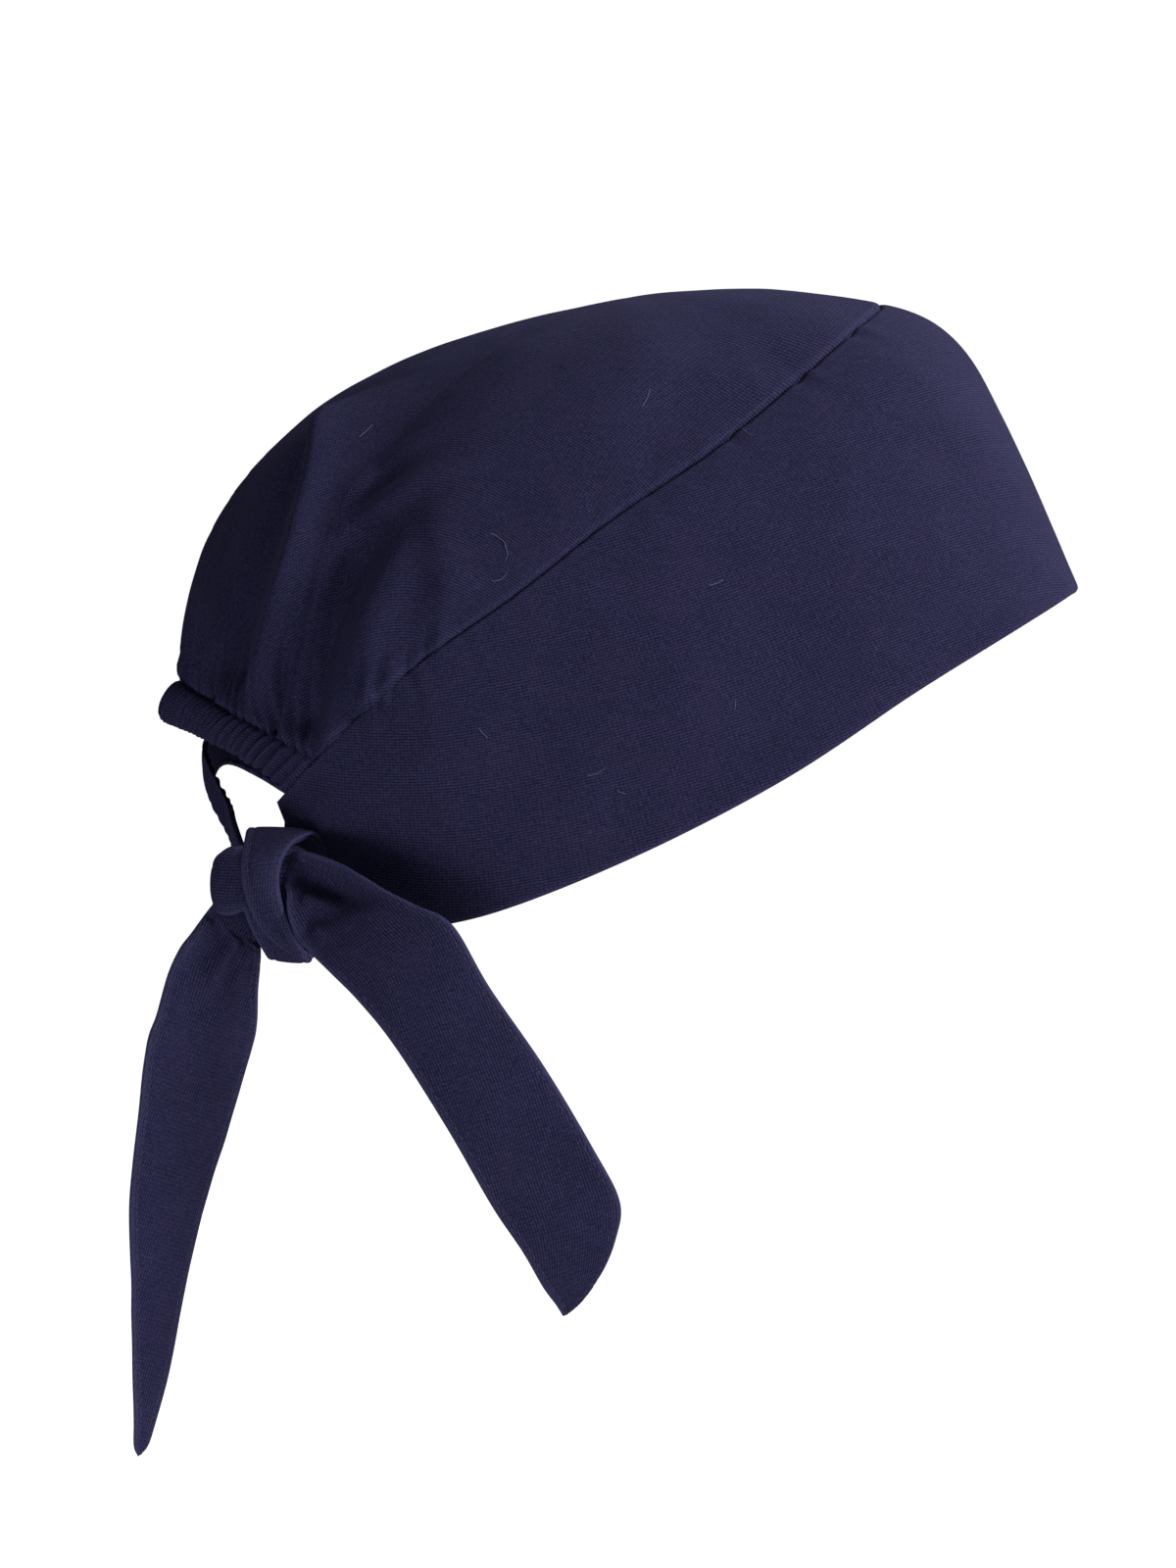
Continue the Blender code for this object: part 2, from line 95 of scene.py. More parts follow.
# The cloth: depth and slant of its weave, its hems, and the steps in which its surfaces are made
WEAVE_DEPTH = 0.00016
FOLD_STEPS = 40
CROWN_SPAN = 0.125
CROWN_END = 0.985
CROWN_EDGE_ROUND = 0.0022
GATHER_SHARE = 1.1
BAND_EDGE_ROUND = 0.0020
BAND_RIM_TUCK = 0.0010
BAND_RIM_ROUND = 0.0016
STRAP_START = 8.9
RUFFLE_END = 11.5
RUFFLE_DEPTH = 0.0010
RUFFLE_PITCH = 0.0024
TWILL_SLANT = (0.21, 0.98)
HEM = 0.0018
SEAM_STEPS = np.array([0.0, 0.0005, 0.0010, 0.0016, 0.0024, 0.0034, 0.0046, 0.0060, 0.0078, 0.0100])
TURN_IN = ((0.0007, 0.0013), (0.0032, 0.0006))
SIXTH_LENGTH = 55.0
SMALL_PUCKERS = 90
PLEAT_COLUMNS = 12
CASING_SHARES = np.array([0.0, 0.015, 0.04, 0.09, 0.16, 0.26, 0.38, 0.50, 0.62, 0.74, 0.84, 0.92, 0.97, 1.0])
CASING_PUFF = 0.0017
CASING_EDGE = 0.0011
CASING_FULLNESS = 1.6
CORE_RINGS = 61
CORE_SIDES = 64
FIBRE_RADIUS = 0.00008
FIBRE_STEPS = 14


def table(kind, rows):
    """Rows of plain values, each made the same kind of named row."""
    return tuple(kind(*row) for row in rows)


Place = namedtuple("Place", "across up")
Pleat = namedtuple("Pleat", "start end depth lean reach")
Lamp = namedtuple("Lamp", "name place size power colour")
LAMPS = table(Lamp, (
    ("key", (1.8, -1.22, 0.74), 0.8, 41.0, (1.0, 0.985, 0.97)),
    ("upper_light", (1.15, 0.04, 1.99), 1.1, 24.0, (0.99, 0.99, 1.0)),
    ("back_light", (1.4, 1.26, 1.32), 1.0, 20.0, (0.98, 0.99, 1.0)),
    ("table_bounce", (-0.08, -0.58, -0.4), 0.5, 0.8, (0.97, 0.98, 1.0)),
    ("side_bounce", (-0.42, -0.48, -0.32), 0.3, 1.3, (0.97, 0.98, 1.0)),
))

# Places round the rim, from the forehead to the back: the rim's point and the way up to the seam, as
# shares of the head's and the band's sizes
BandRow = namedtuple("BandRow", "forward out lift top_forward top_out top_lift shoulder")
FRONT_ROWS = table(BandRow, (
    (1.0, 0.0, 0.402, -0.576, 0.0, 0.828, 1.0),
    (0.945, 0.347, 0.401, -0.645, 0.047, 0.763, 0.9),
    (0.77, 0.653, 0.319, -0.66, -0.012, 0.692, 0.65),
    (0.5, 0.875, 0.158, -0.598, -0.066, 0.671, 0.42),
    (0.174, 0.987, -0.073, -0.484, -0.082, 0.732, 0.26),
    (-0.174, 0.987, -0.28, -0.362, -0.035, 0.726, 0.18),
))
NEAR_ROWS = FRONT_ROWS + table(BandRow, (
    (-0.5, 0.867, -0.444, -0.233, 0.047, 0.71, 0.12),
    (-0.73, 0.707, -0.513, -0.171, 0.082, 0.576, 0.08),
    (-0.851, 0.507, -0.535, -0.185, 0.047, 0.388, 0.05),
))
FAR_ROWS = FRONT_ROWS + table(BandRow, (
    (-0.5, 0.867, -0.407, -0.233, 0.04, 0.673, 0.12),
    (-0.8, 0.747, -0.262, -0.11, 0.024, 0.348, 0.08),
    (-1.02, 0.607, -0.12, -0.03, 0.026, 0.12, 0.0),
    (-1.088, 0.4, -0.16, -0.018, 0.012, 0.12, 0.0),
    (-1.097, 0.187, -0.215, -0.012, 0.012, 0.124, 0.0),
    (-1.072, 0.0, -0.3, -0.012, 0.012, 0.124, 0.0),
    (-1.08, -0.2, -0.372, -0.006, 0.0, 0.14, 0.0),
    (-1.079, -0.5, -0.462, 0.0, 0.0, 0.15, 0.0),
))
# Places round the crown, from the forehead to the back: how steeply its curve starts and how it goes on
CrownRow = namedtuple("CrownRow", "rise lean reach")
CROWN_ROWS = table(CrownRow, (
    (0.3, 78.0, 0.35),
    (0.33, 50.0, 0.4),
    (0.36, 18.0, 0.47),
    (0.36, 10.0, 0.47),
    (0.39, 5.0, 0.49),
    (0.41, 3.0, 0.485),
    (0.41, 3.0, 0.495),
))

# Folds of the crown. The line is a list of places: turn round the cap from -6 to 6, and height from the
# edge to the middle. Rise is in mm, below 0 in a hollow. Left and right are the widths in mm on the two
# sides of the line, seen from its first place to its last. Ends: shares of the line over which it fades.
Fold = namedtuple("Fold", "line rise left right start end")
CROWN_FOLDS = table(Fold, (
    (((-4.72, 0.0), (-4.64, 0.1), (-4.62, 0.28), (-4.78, 0.42), (-5.2, 0.52), (-5.7, 0.58)),
     7.0, 4.6, 15.0, 0.16, 0.3),
    (((-4.72, 0.0), (-4.65, 0.08), (-4.6, 0.18), (-4.6, 0.3), (-4.76, 0.42), (-5.15, 0.5), (-5.65, 0.55)),
     3.0, 1.6, 5.0, 0.06, 0.3),
    (((-4.95, 0.02), (-4.95, 0.15), (-5.0, 0.3), (-5.25, 0.42), (-5.65, 0.48)),
     -4.2, 8.0, 4.5, 0.1, 0.4),
    (((-5.14, 0.0), (-5.06, 0.06), (-4.9, 0.13), (-4.84, 0.19)), 1.7, 2.0, 3.4, 0.05, 0.6),
    (((-5.26, 0.0), (-5.24, 0.06), (-5.12, 0.12)), -1.5, 2.0, 2.0, 0.05, 0.6),
    (((-4.46, 0.0), (-4.36, 0.07), (-4.3, 0.16), (-4.3, 0.26), (-4.36, 0.34)),
     3.0, 2.2, 4.2, 0.06, 0.45),
    (((-4.54, 0.0), (-4.46, 0.08), (-4.42, 0.18)), -2.6, 2.0, 2.2, 0.05, 0.6),
    (((-4.28, 0.02), (-4.22, 0.12), (-4.15, 0.2), (-4.04, 0.28), (-3.86, 0.34)),
     -4.4, 7.0, 3.2, 0.08, 0.3),
    (((-3.86, 0.0), (-3.88, 0.08), (-3.84, 0.16), (-3.7, 0.24), (-3.54, 0.3)),
     3.4, 3.0, 10.0, 0.12, 0.4),
    (((-3.15, 0.04), (-3.28, 0.13), (-3.4, 0.22), (-3.5, 0.3), (-3.58, 0.35)),
     1.2, 4.0, 6.0, 0.2, 0.4),
    (((-4.36, 0.3), (-4.25, 0.35), (-4.03, 0.38), (-3.76, 0.395), (-3.4, 0.38), (-3.0, 0.37)),
     2.6, 3.2, 3.4, 0.25, 0.45),
    (((-4.4, 0.37), (-4.3, 0.42), (-4.18, 0.475), (-3.95, 0.505), (-3.5, 0.52)),
     1.5, 3.0, 2.8, 0.3, 0.4),
    (((-4.3, 0.39), (-4.1, 0.435), (-3.8, 0.45)), -0.9, 3.6, 3.6, 0.4, 0.5),
    (((-4.1, 0.0), (-4.04, 0.06), (-3.96, 0.13)), 1.5, 2.4, 3.2, 0.05, 0.6),
    (((-3.92, 0.0), (-3.86, 0.05), (-3.8, 0.1)), -0.9, 2.0, 2.2, 0.05, 0.6),
    (((-3.6, 0.22), (-3.35, 0.12), (-3.14, 0.02)), 1.0, 4.0, 7.0, 0.4, 0.4),
    (((-3.7, 0.03), (-3.5, 0.14), (-3.42, 0.22)), -1.0, 4.0, 4.0, 0.2, 0.5),
    (((-1.75, 0.36), (-1.97, 0.163), (-2.06, 0.03)), -1.0, 9.0, 7.0, 0.35, 0.3),
    (((-1.7, 0.36), (-1.4, 0.2), (-1.17, 0.11)), 0.7, 7.0, 6.0, 0.4, 0.3),
    (((-5.35, 0.0), (-5.42, 0.1), (-5.6, 0.22)), 1.8, 3.5, 4.5, 0.1, 0.6),
    (((-5.66, 0.0), (-5.75, 0.16), (-5.95, 0.32)), 1.6, 4.0, 4.0, 0.1, 0.6),
    (((5.9, 0.0), (5.86, 0.14), (5.7, 0.3)), 1.8, 4.0, 5.0, 0.1, 0.6),
    (((5.7, 0.0), (5.6, 0.2), (5.45, 0.4)), -1.8, 5.0, 5.0, 0.15, 0.6),
    (((5.45, 0.0), (5.35, 0.2), (5.25, 0.48)), 2.8, 5.0, 8.0, 0.15, 0.5),
    (((5.12, 0.0), (5.0, 0.2), (4.9, 0.42)), -2.2, 5.0, 6.0, 0.15, 0.55),
    (((4.8, 0.0), (4.75, 0.16), (4.55, 0.4)), 2.4, 5.0, 8.0, 0.15, 0.5),
    (((4.45, 0.0), (4.3, 0.2), (3.95, 0.36)), -2.4, 5.0, 6.0, 0.15, 0.55),
    (((4.15, 0.0), (4.0, 0.14), (3.6, 0.3)), 1.8, 4.0, 7.0, 0.15, 0.55),
    (((3.9, 0.02), (3.5, 0.12), (3.0, 0.22)), -0.9, 6.0, 6.0, 0.25, 0.55),
    (((1.8, 0.3), (2.05, 0.14), (2.1, 0.02)), -0.8, 8.0, 8.0, 0.4, 0.3),
))

# Folds of the band's near side: place round the band, and height from the rim to the seam
NEAR_FOLDS = table(Fold, (
    (((8.3, 0.6), (7.6, 0.46), (6.9, 0.36), (6.1, 0.34)), -2.6, 7.0, 7.0, 0.1, 0.55),
    (((8.3, 0.86), (7.5, 0.74), (6.8, 0.66), (5.9, 0.66)), 1.2, 6.0, 7.0, 0.1, 0.55),
    (((8.2, 0.3), (7.4, 0.18), (6.6, 0.12)), 1.0, 6.0, 6.0, 0.2, 0.55),
    (((3.7, 0.95), (3.6, 0.6), (3.45, 0.2)), -0.8, 14.0, 9.0, 0.4, 0.4),
    (((1.7, 0.9), (2.0, 0.5), (2.1, 0.15)), 0.6, 12.0, 12.0, 0.4, 0.4),
))
FAR_FOLDS = table(Fold, (
    (((7.6, 0.5), (7.0, 0.4), (6.2, 0.4)), -1.6, 6.0, 7.0, 0.25, 0.55),
    (((7.4, 0.8), (6.8, 0.7), (6.0, 0.7)), 1.0, 6.0, 7.0, 0.25, 0.55),
    (((3.9, 0.95), (3.8, 0.6), (3.6, 0.2)), -0.7, 14.0, 10.0, 0.4, 0.4),
))

# Puckers that the seam pulls into the cloth beside it: turn round the cap, rise on the crown, rise on the
# band, and reach, all in mm
Pucker = namedtuple("Pucker", "turn crown band reach")
SEAM_PUCKERS = table(Pucker, (
    (-3.48, -1.8, -0.5, 5.0),
    (-3.44, 1.2, 0.2, 3.5),
    (-3.39, -1.6, -0.4, 6.0),
    (-3.3, 0.8, 0.2, 8.0),
    (-3.62, 0.7, 0.0, 9.0),
    (-3.7, -1.0, -0.2, 8.0),
    (-3.8, 0.6, 0.2, 9.0),
    (-3.88, -0.8, -0.2, 7.0),
    (-2.38, -0.4, 0.2, 9.0),
    (-2.05, -0.5, -0.3, 12.0),
    (-1.55, 0.2, -0.5, 7.0),
    (-1.48, 0.2, 0.4, 8.0),
    (-1.05, -0.1, -0.6, 6.0),
    (-0.98, 0.1, 0.5, 7.0),
    (-0.6, 0.1, -0.7, 6.0),
    (-0.52, 0.0, 0.6, 7.0),
    (0.45, 0.1, -0.6, 6.0),
    (1.1, -0.3, -0.5, 7.0),
    (1.9, -0.4, 0.3, 8.0),
    (2.6, 0.4, -0.3, 8.0),
    (3.3, -0.8, 0.3, 8.0),
))

# Straps and tie ends, one row a step along each, as seen from the side: places of the left and right
# edges in mm from the middle of the knot (to the right, up, and towards the viewer), and the swell of the
# cloth between them.
StrapRow = namedtuple("StrapRow", "left_x left_z left_y right_x right_z right_y swell")
WRAP_ROWS = table(StrapRow, (
    (-7.6, 13.6, 1.0, 9.4, 12.6, -2.0, 0.6),
    (-8.2, 10.4, 6.6, 6.6, 12.0, 3.4, 0.8),
    (-8.7, 6.6, 9.2, 3.6, 10.2, 7.6, 1.0),
    (-8.7, 2.6, 10.4, 1.2, 6.2, 10.2, 1.0),
    (-7.8, -1.8, 10.4, 0.5, 1.6, 10.8, 0.9),
    (-6.2, -6.2, 9.4, 1.2, -3.2, 10.4, 0.8),
    (-3.2, -10.8, 7.4, 3.0, -8.6, 8.8, 0.6),
    (1.6, -14.8, 4.0, 5.4, -13.4, 5.6, 0.3),
    (4.4, -16.4, -1.0, 8.4, -16.0, -0.4, 0.2),
    (2.0, -14.5, -6.5, 9.0, -13.0, -7.0, 0.3),
    (-4.0, -6.0, -10.0, 9.0, -5.0, -9.0, 0.6),
    (-6.0, 4.0, -10.4, 11.0, 3.6, -8.6, 0.6),
    (-7.0, 10.6, -6.0, 11.6, 9.4, -6.4, 0.6),
))
UNDER_ROWS = table(StrapRow, (
    (-9.4, 0.0, 5.0, -4.0, 1.0, 6.8, 0.3),
    (-8.6, -4.2, 6.8, -2.0, -3.0, 7.6, 0.4),
    (-7.0, -8.6, 6.6, 0.0, -7.6, 7.6, 0.5),
    (-5.0, -12.6, 4.6, 3.0, -12.0, 5.2, 0.5),
    (-2.8, -16.2, 0.6, 7.6, -16.9, 1.6, 0.4),
    (-2.6, -15.4, -4.6, 8.0, -16.0, -4.6, 0.3),
))
LOBE_ROWS = table(StrapRow, (
    (-2.0, 9.4, 5.2, -2.0, -2.6, 5.2, 0.4),
    (-7.0, 10.2, 7.0, -7.0, -5.0, 7.0, 0.9),
    (-11.0, 10.0, 6.6, -11.0, -6.6, 6.2, 1.2),
    (-13.8, 8.2, 3.8, -13.9, -6.2, 3.2, 1.2),
    (-14.6, 6.4, -0.6, -14.6, -4.4, -0.8, 1.0),
    (-13.2, 7.0, -5.2, -13.2, -4.6, -5.2, 0.8),
    (-9.0, 7.8, -7.4, -9.0, -4.6, -7.4, 0.5),
    (-4.0, 7.2, -7.0, -4.0, -3.8, -7.0, 0.3),
))
CORE_ROWS = table(StrapRow, (
    (-12.0, 8.6, 0.0, -12.0, -4.0, 0.0, 4.4),
    (-8.0, 10.8, 0.5, -8.0, -8.0, 0.5, 5.2),
    (-2.0, 11.4, 1.0, -2.0, -13.4, 1.0, 5.8),
    (4.0, 10.0, 1.0, 3.6, -14.4, 1.0, 4.4),
    (8.4, 8.0, 0.0, 6.4, -13.2, 0.0, 2.4),
))
LONG_ROWS = table(StrapRow, (
    (-12.0, 0.6, 1.0, -4.8, -2.0, 1.4, 0.6),
    (-16.6, -5.0, 2.4, -4.8, -8.6, 1.6, 1.2),
    (-20.7, -10.4, 3.4, -4.3, -13.6, 0.6, 1.6),
    (-23.8, -14.4, 4.0, -4.3, -18.8, -1.0, 1.8),
    (-26.4, -20.4, 4.5, -4.9, -25.0, -3.5, 1.6),
    (-29.2, -30.4, 5.5, -5.4, -33.0, -7.5, 1.4),
    (-31.6, -38.0, 5.8, -7.0, -40.0, -10.2, 1.2),
    (-34.0, -57.0, 2.9, -12.6, -59.0, -13.1, 1.0),
    (-36.0, -76.0, -1.3, -18.3, -77.0, -15.1, 0.8),
    (-35.7, -95.2, -6.3, -22.8, -96.0, -16.3, 0.6),
    (-35.6, -114.4, -10.6, -26.4, -115.0, -17.8, 0.4),
    (-35.4, -128.0, -14.2, -30.0, -128.4, -18.4, 0.2),
    (-35.4, -134.6, -16.0, -31.8, -134.4, -18.8, 0.1),
    (-34.6, -137.2, -18.0, -33.8, -137.2, -18.0, 0.0),
))
SHORT_ROWS = table(StrapRow, (
    (1.6, 0.6, 6.2, 3.0, 8.8, 2.6, 0.2),
    (2.2, -1.6, 8.8, 6.4, 8.4, 5.4, -1.6),
    (2.4, -6.0, 11.2, 15.0, 5.4, 11.0, -3.2),
    (4.5, -11.8, 12.8, 21.0, 2.6, 15.0, -2.4),
    (8.4, -16.0, 14.8, 26.8, -0.8, 18.4, -0.8),
    (13.0, -20.4, 17.4, 33.4, -4.0, 21.4, 0.8),
    (19.6, -27.0, 20.0, 42.0, -8.6, 23.8, 1.2),
    (28.2, -37.6, 22.0, 50.8, -23.4, 24.4, 1.2),
    (40.4, -56.8, 20.8, 64.0, -42.6, 22.8, 1.0),
    (51.4, -76.0, 17.6, 75.4, -61.8, 19.6, 0.8),
    (58.6, -86.8, 15.6, 81.8, -74.4, 17.4, 0.6),
    (63.4, -95.2, 14.2, 81.0, -83.4, 16.0, 0.4),
    (66.6, -99.6, 13.6, 77.0, -92.8, 14.4, 0.2),
    (68.2, -102.2, 13.2, 69.6, -101.6, 13.2, 0.0),
))
# Folds of the tie ends in the side view: places in mm from the middle of the knot, to the right and up
TieFold = namedtuple("TieFold", "line rise left right start end")
LONG_FOLDS = table(TieFold, (
    (((-5.4, -13.0), (-9.5, -20.0), (-13.7, -28.4), (-17.4, -38.4)), 2.0, 1.8, 2.8, 0.06, 0.5),
    (((-7.2, -12.5), (-12.0, -20.5), (-16.5, -29.0)), -1.8, 1.8, 1.8, 0.06, 0.55),
    (((-9.5, -12.0), (-14.2, -20.0), (-19.0, -29.6)), 1.6, 2.0, 2.4, 0.06, 0.55),
    (((-12.0, -10.5), (-18.0, -16.5), (-24.0, -24.0)), -2.2, 3.2, 2.6, 0.1, 0.5),
    (((-16.0, -7.6), (-21.5, -13.0), (-26.5, -21.0)), 1.2, 2.0, 3.0, 0.1, 0.5),
    (((-5.4, -17.0), (-7.5, -26.0), (-10.5, -36.0)), -1.8, 2.2, 2.6, 0.1, 0.55),
    (((-14.0, -36.0), (-21.0, -60.0), (-27.0, -90.0)), 0.5, 4.0, 5.0, 0.3, 0.6),
))
SHORT_FOLDS = table(TieFold, (
    (((5.0, 8.4), (12.0, 6.8), (20.0, 3.6), (30.0, -1.6)), 1.8, 1.8, 2.6, 0.1, 0.5),
    (((4.6, 4.6), (10.0, 1.6), (16.0, -1.0), (24.0, -4.4)), -3.2, 2.8, 3.4, 0.04, 0.45),
    (((6.0, -2.0), (11.0, -3.4), (17.0, -4.0)), 1.4, 1.6, 2.0, 0.1, 0.6),
    (((6.5, -7.0), (12.0, -8.2), (19.0, -8.0)), -1.6, 2.4, 2.4, 0.1, 0.55),
    (((8.0, -11.0), (14.0, -8.4), (22.0, -7.6), (31.0, -11.0)), 1.4, 2.6, 3.4, 0.1, 0.5),
    (((26.0, -18.0), (42.0, -42.0), (60.0, -70.0)), 0.4, 6.0, 6.0, 0.3, 0.5),
))

# Loose fibres on the cloth in the side view: place in mm from the origin, length in mm, turn and bend in
# degrees
Fibre = namedtuple("Fibre", "right rise length turn bend")
FIBRES = table(Fibre, (
    (-39.6, 41.0, 9.0, 60, 150),
    (-43.0, 36.0, 5.0, -20, 120),
    (-7.0, 78.0, 5.0, 50, 40),
    (17.0, 73.0, 3.6, -50, 30),
    (-75.0, 71.0, 4.6, 35, 20),
    (15.0, 5.0, 3.2, 75, 20),
    (-46.0, 1.0, 3.4, -60, 30),
    (-20.0, -10.4, 5.0, 0, 60),
    (-13.0, -14.0, 2.6, -30, 20),
    (28.0, -20.0, 3.0, -70, 40),
    (9.0, 35.0, 4.0, 10, 30),
))


def length_setting(name, description, default, least, most):
    """A length that a user can change."""
    return bpy.props.FloatProperty(
        name=name, description=description, default=default, min=least, max=most, subtype="DISTANCE",
        unit="LENGTH", precision=5)


def colour_setting(name, description, default):
    """A colour that a user can change."""
    return bpy.props.FloatVectorProperty(
        name=name, description=description, default=default, subtype="COLOR", size=3, min=0.0, max=1.0)


class CapSizes(bpy.types.PropertyGroup):
    """Sizes of the cloth, its gathers and its stitches."""

    cloth: length_setting("Crown cloth", "Thickness of the crown's cloth", 0.0010, 0.0003, 0.003)
    band_cloth: length_setting("Band cloth", "Thickness of the band's double cloth", 0.0014, 0.0005, 0.003)
    tie_cloth: length_setting("Tie cloth", "Thickness of a tie end", 0.0013, 0.0005, 0.003)
    fold_share: bpy.props.FloatProperty(
        name="Folds", description="Height of the crown's folds as a share of their usual height",
        default=1.0, subtype="FACTOR", min=0.0, max=2.0)
    pleats: bpy.props.IntProperty(
        name="Pleats", description="Pleats along the gathered casing", default=46, min=10, max=120)
    pleat_depth: length_setting("Pleat depth", "Depth of the creases between two pleats", 0.0034, 0.0, 0.006)
    seam_tuck: length_setting("Seam tuck", "Depth of the groove at the seam", 0.0011, 0.0, 0.003)
    stitch_length: length_setting("Stitch length", "Length of one stitch", 0.0019, 0.001, 0.005)
    thread: length_setting("Thread", "Thickness of the sewing thread", 0.00026, 0.0001, 0.001)


class CapColours(bpy.types.PropertyGroup):
    """Colours and weave of the cloth."""

    navy: colour_setting("Navy", "Colour of the cloth", (0.012, 0.0115, 0.034))
    warm: colour_setting("Warm thread", "Colour where the dye turns to purple", (0.031, 0.022, 0.058))
    # The lit thread colour is also mixed in by the mask of edge wear and painted highlight, on edges and
    # pleat ridges
    lit: colour_setting("Lit thread", "Colour of the raised threads and worn edges", (0.046, 0.045, 0.112))
    thread: colour_setting("Sewing thread", "Colour of the stitches", (0.022, 0.021, 0.056))
    fibre: colour_setting("Fibre", "Colour of the loose fibres", (0.13, 0.14, 0.24))
    floor: colour_setting("Floor", "Colour of the floor", (0.92, 0.92, 0.92))
    twill_pitch: length_setting("Twill pitch", "Distance between two twill lines", 0.00070, 0.0002, 0.003)


def sizes():
    return bpy.context.scene.scrub_cap_sizes


def colours():
    return bpy.context.scene.scrub_cap_colours


# Curves and surfaces


def smooth(rows, place, before=None, after=None):
    """Every column at a place between the rows, on a curve through all of them."""
    last = len(rows) - 1
    place = min(max(place, 0.0), float(last))
    index = min(int(place), last - 1)
    share = place - index
    first = before or [2 * a - b for a, b in zip(rows[0], rows[1])]
    final = after or [2 * a - b for a, b in zip(rows[last], rows[last - 1])]
    points = (
        rows[index - 1] if index > 0 else first,
        rows[index],
        rows[index + 1],
        rows[index + 2] if index + 2 <= last else final,
    )
    values = []
    for a, b, c, d in zip(*points):
        rise = (c - a) * share
        bend = (2 * a - 5 * b + 4 * c - d) * share**2
        twist = (3 * b - a - 3 * c + d) * share**3
        values.append(b + (rise + bend + twist) / 2)
    return type(rows[0])(*values)


def band_row(side, place):
    rows = NEAR_ROWS if side < 0 else FAR_ROWS
    mirrored = rows[1]._replace(out=-rows[1].out, top_out=-rows[1].top_out)
    return smooth(rows, place, before=mirrored)


def band_rim(side, place):
    row = band_row(side, place)
    return Vector((row.forward * HEAD_LENGTH / 2, side * row.out * HEAD_WIDTH / 2, row.lift * RIM_FALL))


def band_top(side, place):
    row = band_row(side, place)
    return band_rim(side, place) + BAND_HEIGHT * Vector((row.top_forward, side * row.top_out, row.top_lift))


def band_outward(side, place):
    """The way out of the cap, square to the band."""
    step = 0.05
    along = band_rim(side, place + step) - band_rim(side, max(place - step, 0.0))
    along += band_top(side, place + step) - band_top(side, max(place - step, 0.0))
    if place < step:
        along = Vector((0, side, 0))
    chord = band_top(side, place) - band_rim(side, place)
    return chord.cross(along).normalized() * -side


def casing_edge(across, low):
    """The casing's upper edge, or its lower one, from -1 at the near end to 1 at the far end."""
    near = band_top(-1, NEAR_CASING_END if low else NEAR_SEAM_END)
    far = band_top(1, FAR_CASING_END if low else FAR_SEAM_END)
    bow = 1 - abs(across) ** 2.3
    pull = (POUCH_DEPTH - (POUCH_TUCK if low else 0.0)) * bow
    return near.lerp(far, (across + 1) / 2) + Vector((-pull, 0, CASING_LIFT * bow))


def crown_edge(turn):
    """The crown's sewn edge. Turn runs from -6 to 6 round the cap, 0 at the forehead."""
    side = -1 if turn < 0 else 1
    sixths = min(abs(turn), SIXTHS)
    if sixths <= SEAM_SIXTHS:
        end = NEAR_SEAM_END if side < 0 else FAR_SEAM_END
        return band_top(side, end * sixths / SEAM_SIXTHS)
    return casing_edge(side * (SIXTHS - sixths) / (SIXTHS - SEAM_SIXTHS), False)


def crown_middle():
    return Vector((CROWN_MIDDLE, 0, CROWN_HEIGHT))


def crown_handles(turn):
    """The four points of the crown's curve from its edge to its middle."""
    row = smooth(CROWN_ROWS, abs(turn), before=CROWN_ROWS[1], after=CROWN_ROWS[5])
    edge = crown_edge(turn)
    middle = crown_middle()
    straight = middle - edge
    inward = Vector((straight.x, straight.y, 0)).normalized()
    lean = math.radians(row.lean)
    start = Vector((0, 0, 1)) * math.cos(lean) + inward * math.sin(lean)
    level = Vector((-straight.x, -straight.y, 0)).normalized()
    level.z = level.x * CROWN_TILT
    return (edge, edge + start * straight.length * row.rise,
            middle + level * straight.length * row.reach, middle)


def crown_smooth(turns, heights):
    """A grid of points of the crown without its folds."""
    handles = np.array([[tuple(p) for p in crown_handles(turn)] for turn in turns])
    h = np.asarray(heights)[None, :, None]
    a, b, c, d = (handles[:, None, k, :] for k in range(4))
    return a * (1 - h) ** 3 + b * 3 * (1 - h) ** 2 * h + c * 3 * (1 - h) * h**2 + d * h**3


def band_smooth(stations, heights):
    """A grid of points of the band without its folds. A station is a side and a place."""
    rim = np.array([tuple(band_rim(*station)) for station in stations])[:, None, :]
    top = np.array([tuple(band_top(*station)) for station in stations])[:, None, :]
    out = np.array([tuple(band_outward(*station)) for station in stations])[:, None, :]
    shoulder = np.array([band_row(*station).shoulder for station in stations])[:, None, None]
    h = np.asarray(heights)[None, :, None]
    return rim + (top - rim) * h + out * (SHOULDER_DEPTH * shoulder * h * (1 - h**5))


def unit(ways):
    return ways / np.maximum(np.linalg.norm(ways, axis=-1, keepdims=True), 1e-12)


def grid_normals(grid, loop=False):
    """The way out at each point of a grid of columns."""
    if loop:
        across = np.roll(grid, -1, 0) - np.roll(grid, 1, 0)
    else:
        across = np.gradient(grid, axis=0)
    return unit(np.cross(across, np.gradient(grid, axis=1)))


def vector(ways):
    """A mathutils vector as an array."""
    return np.array(tuple(ways))


def run_along(line, count):
    """A curve through chosen places, cut into even steps."""
    rows = [Place(*p) for p in line]
    return [smooth(rows, (len(rows) - 1) * i / (count - 1)) for i in range(count)]


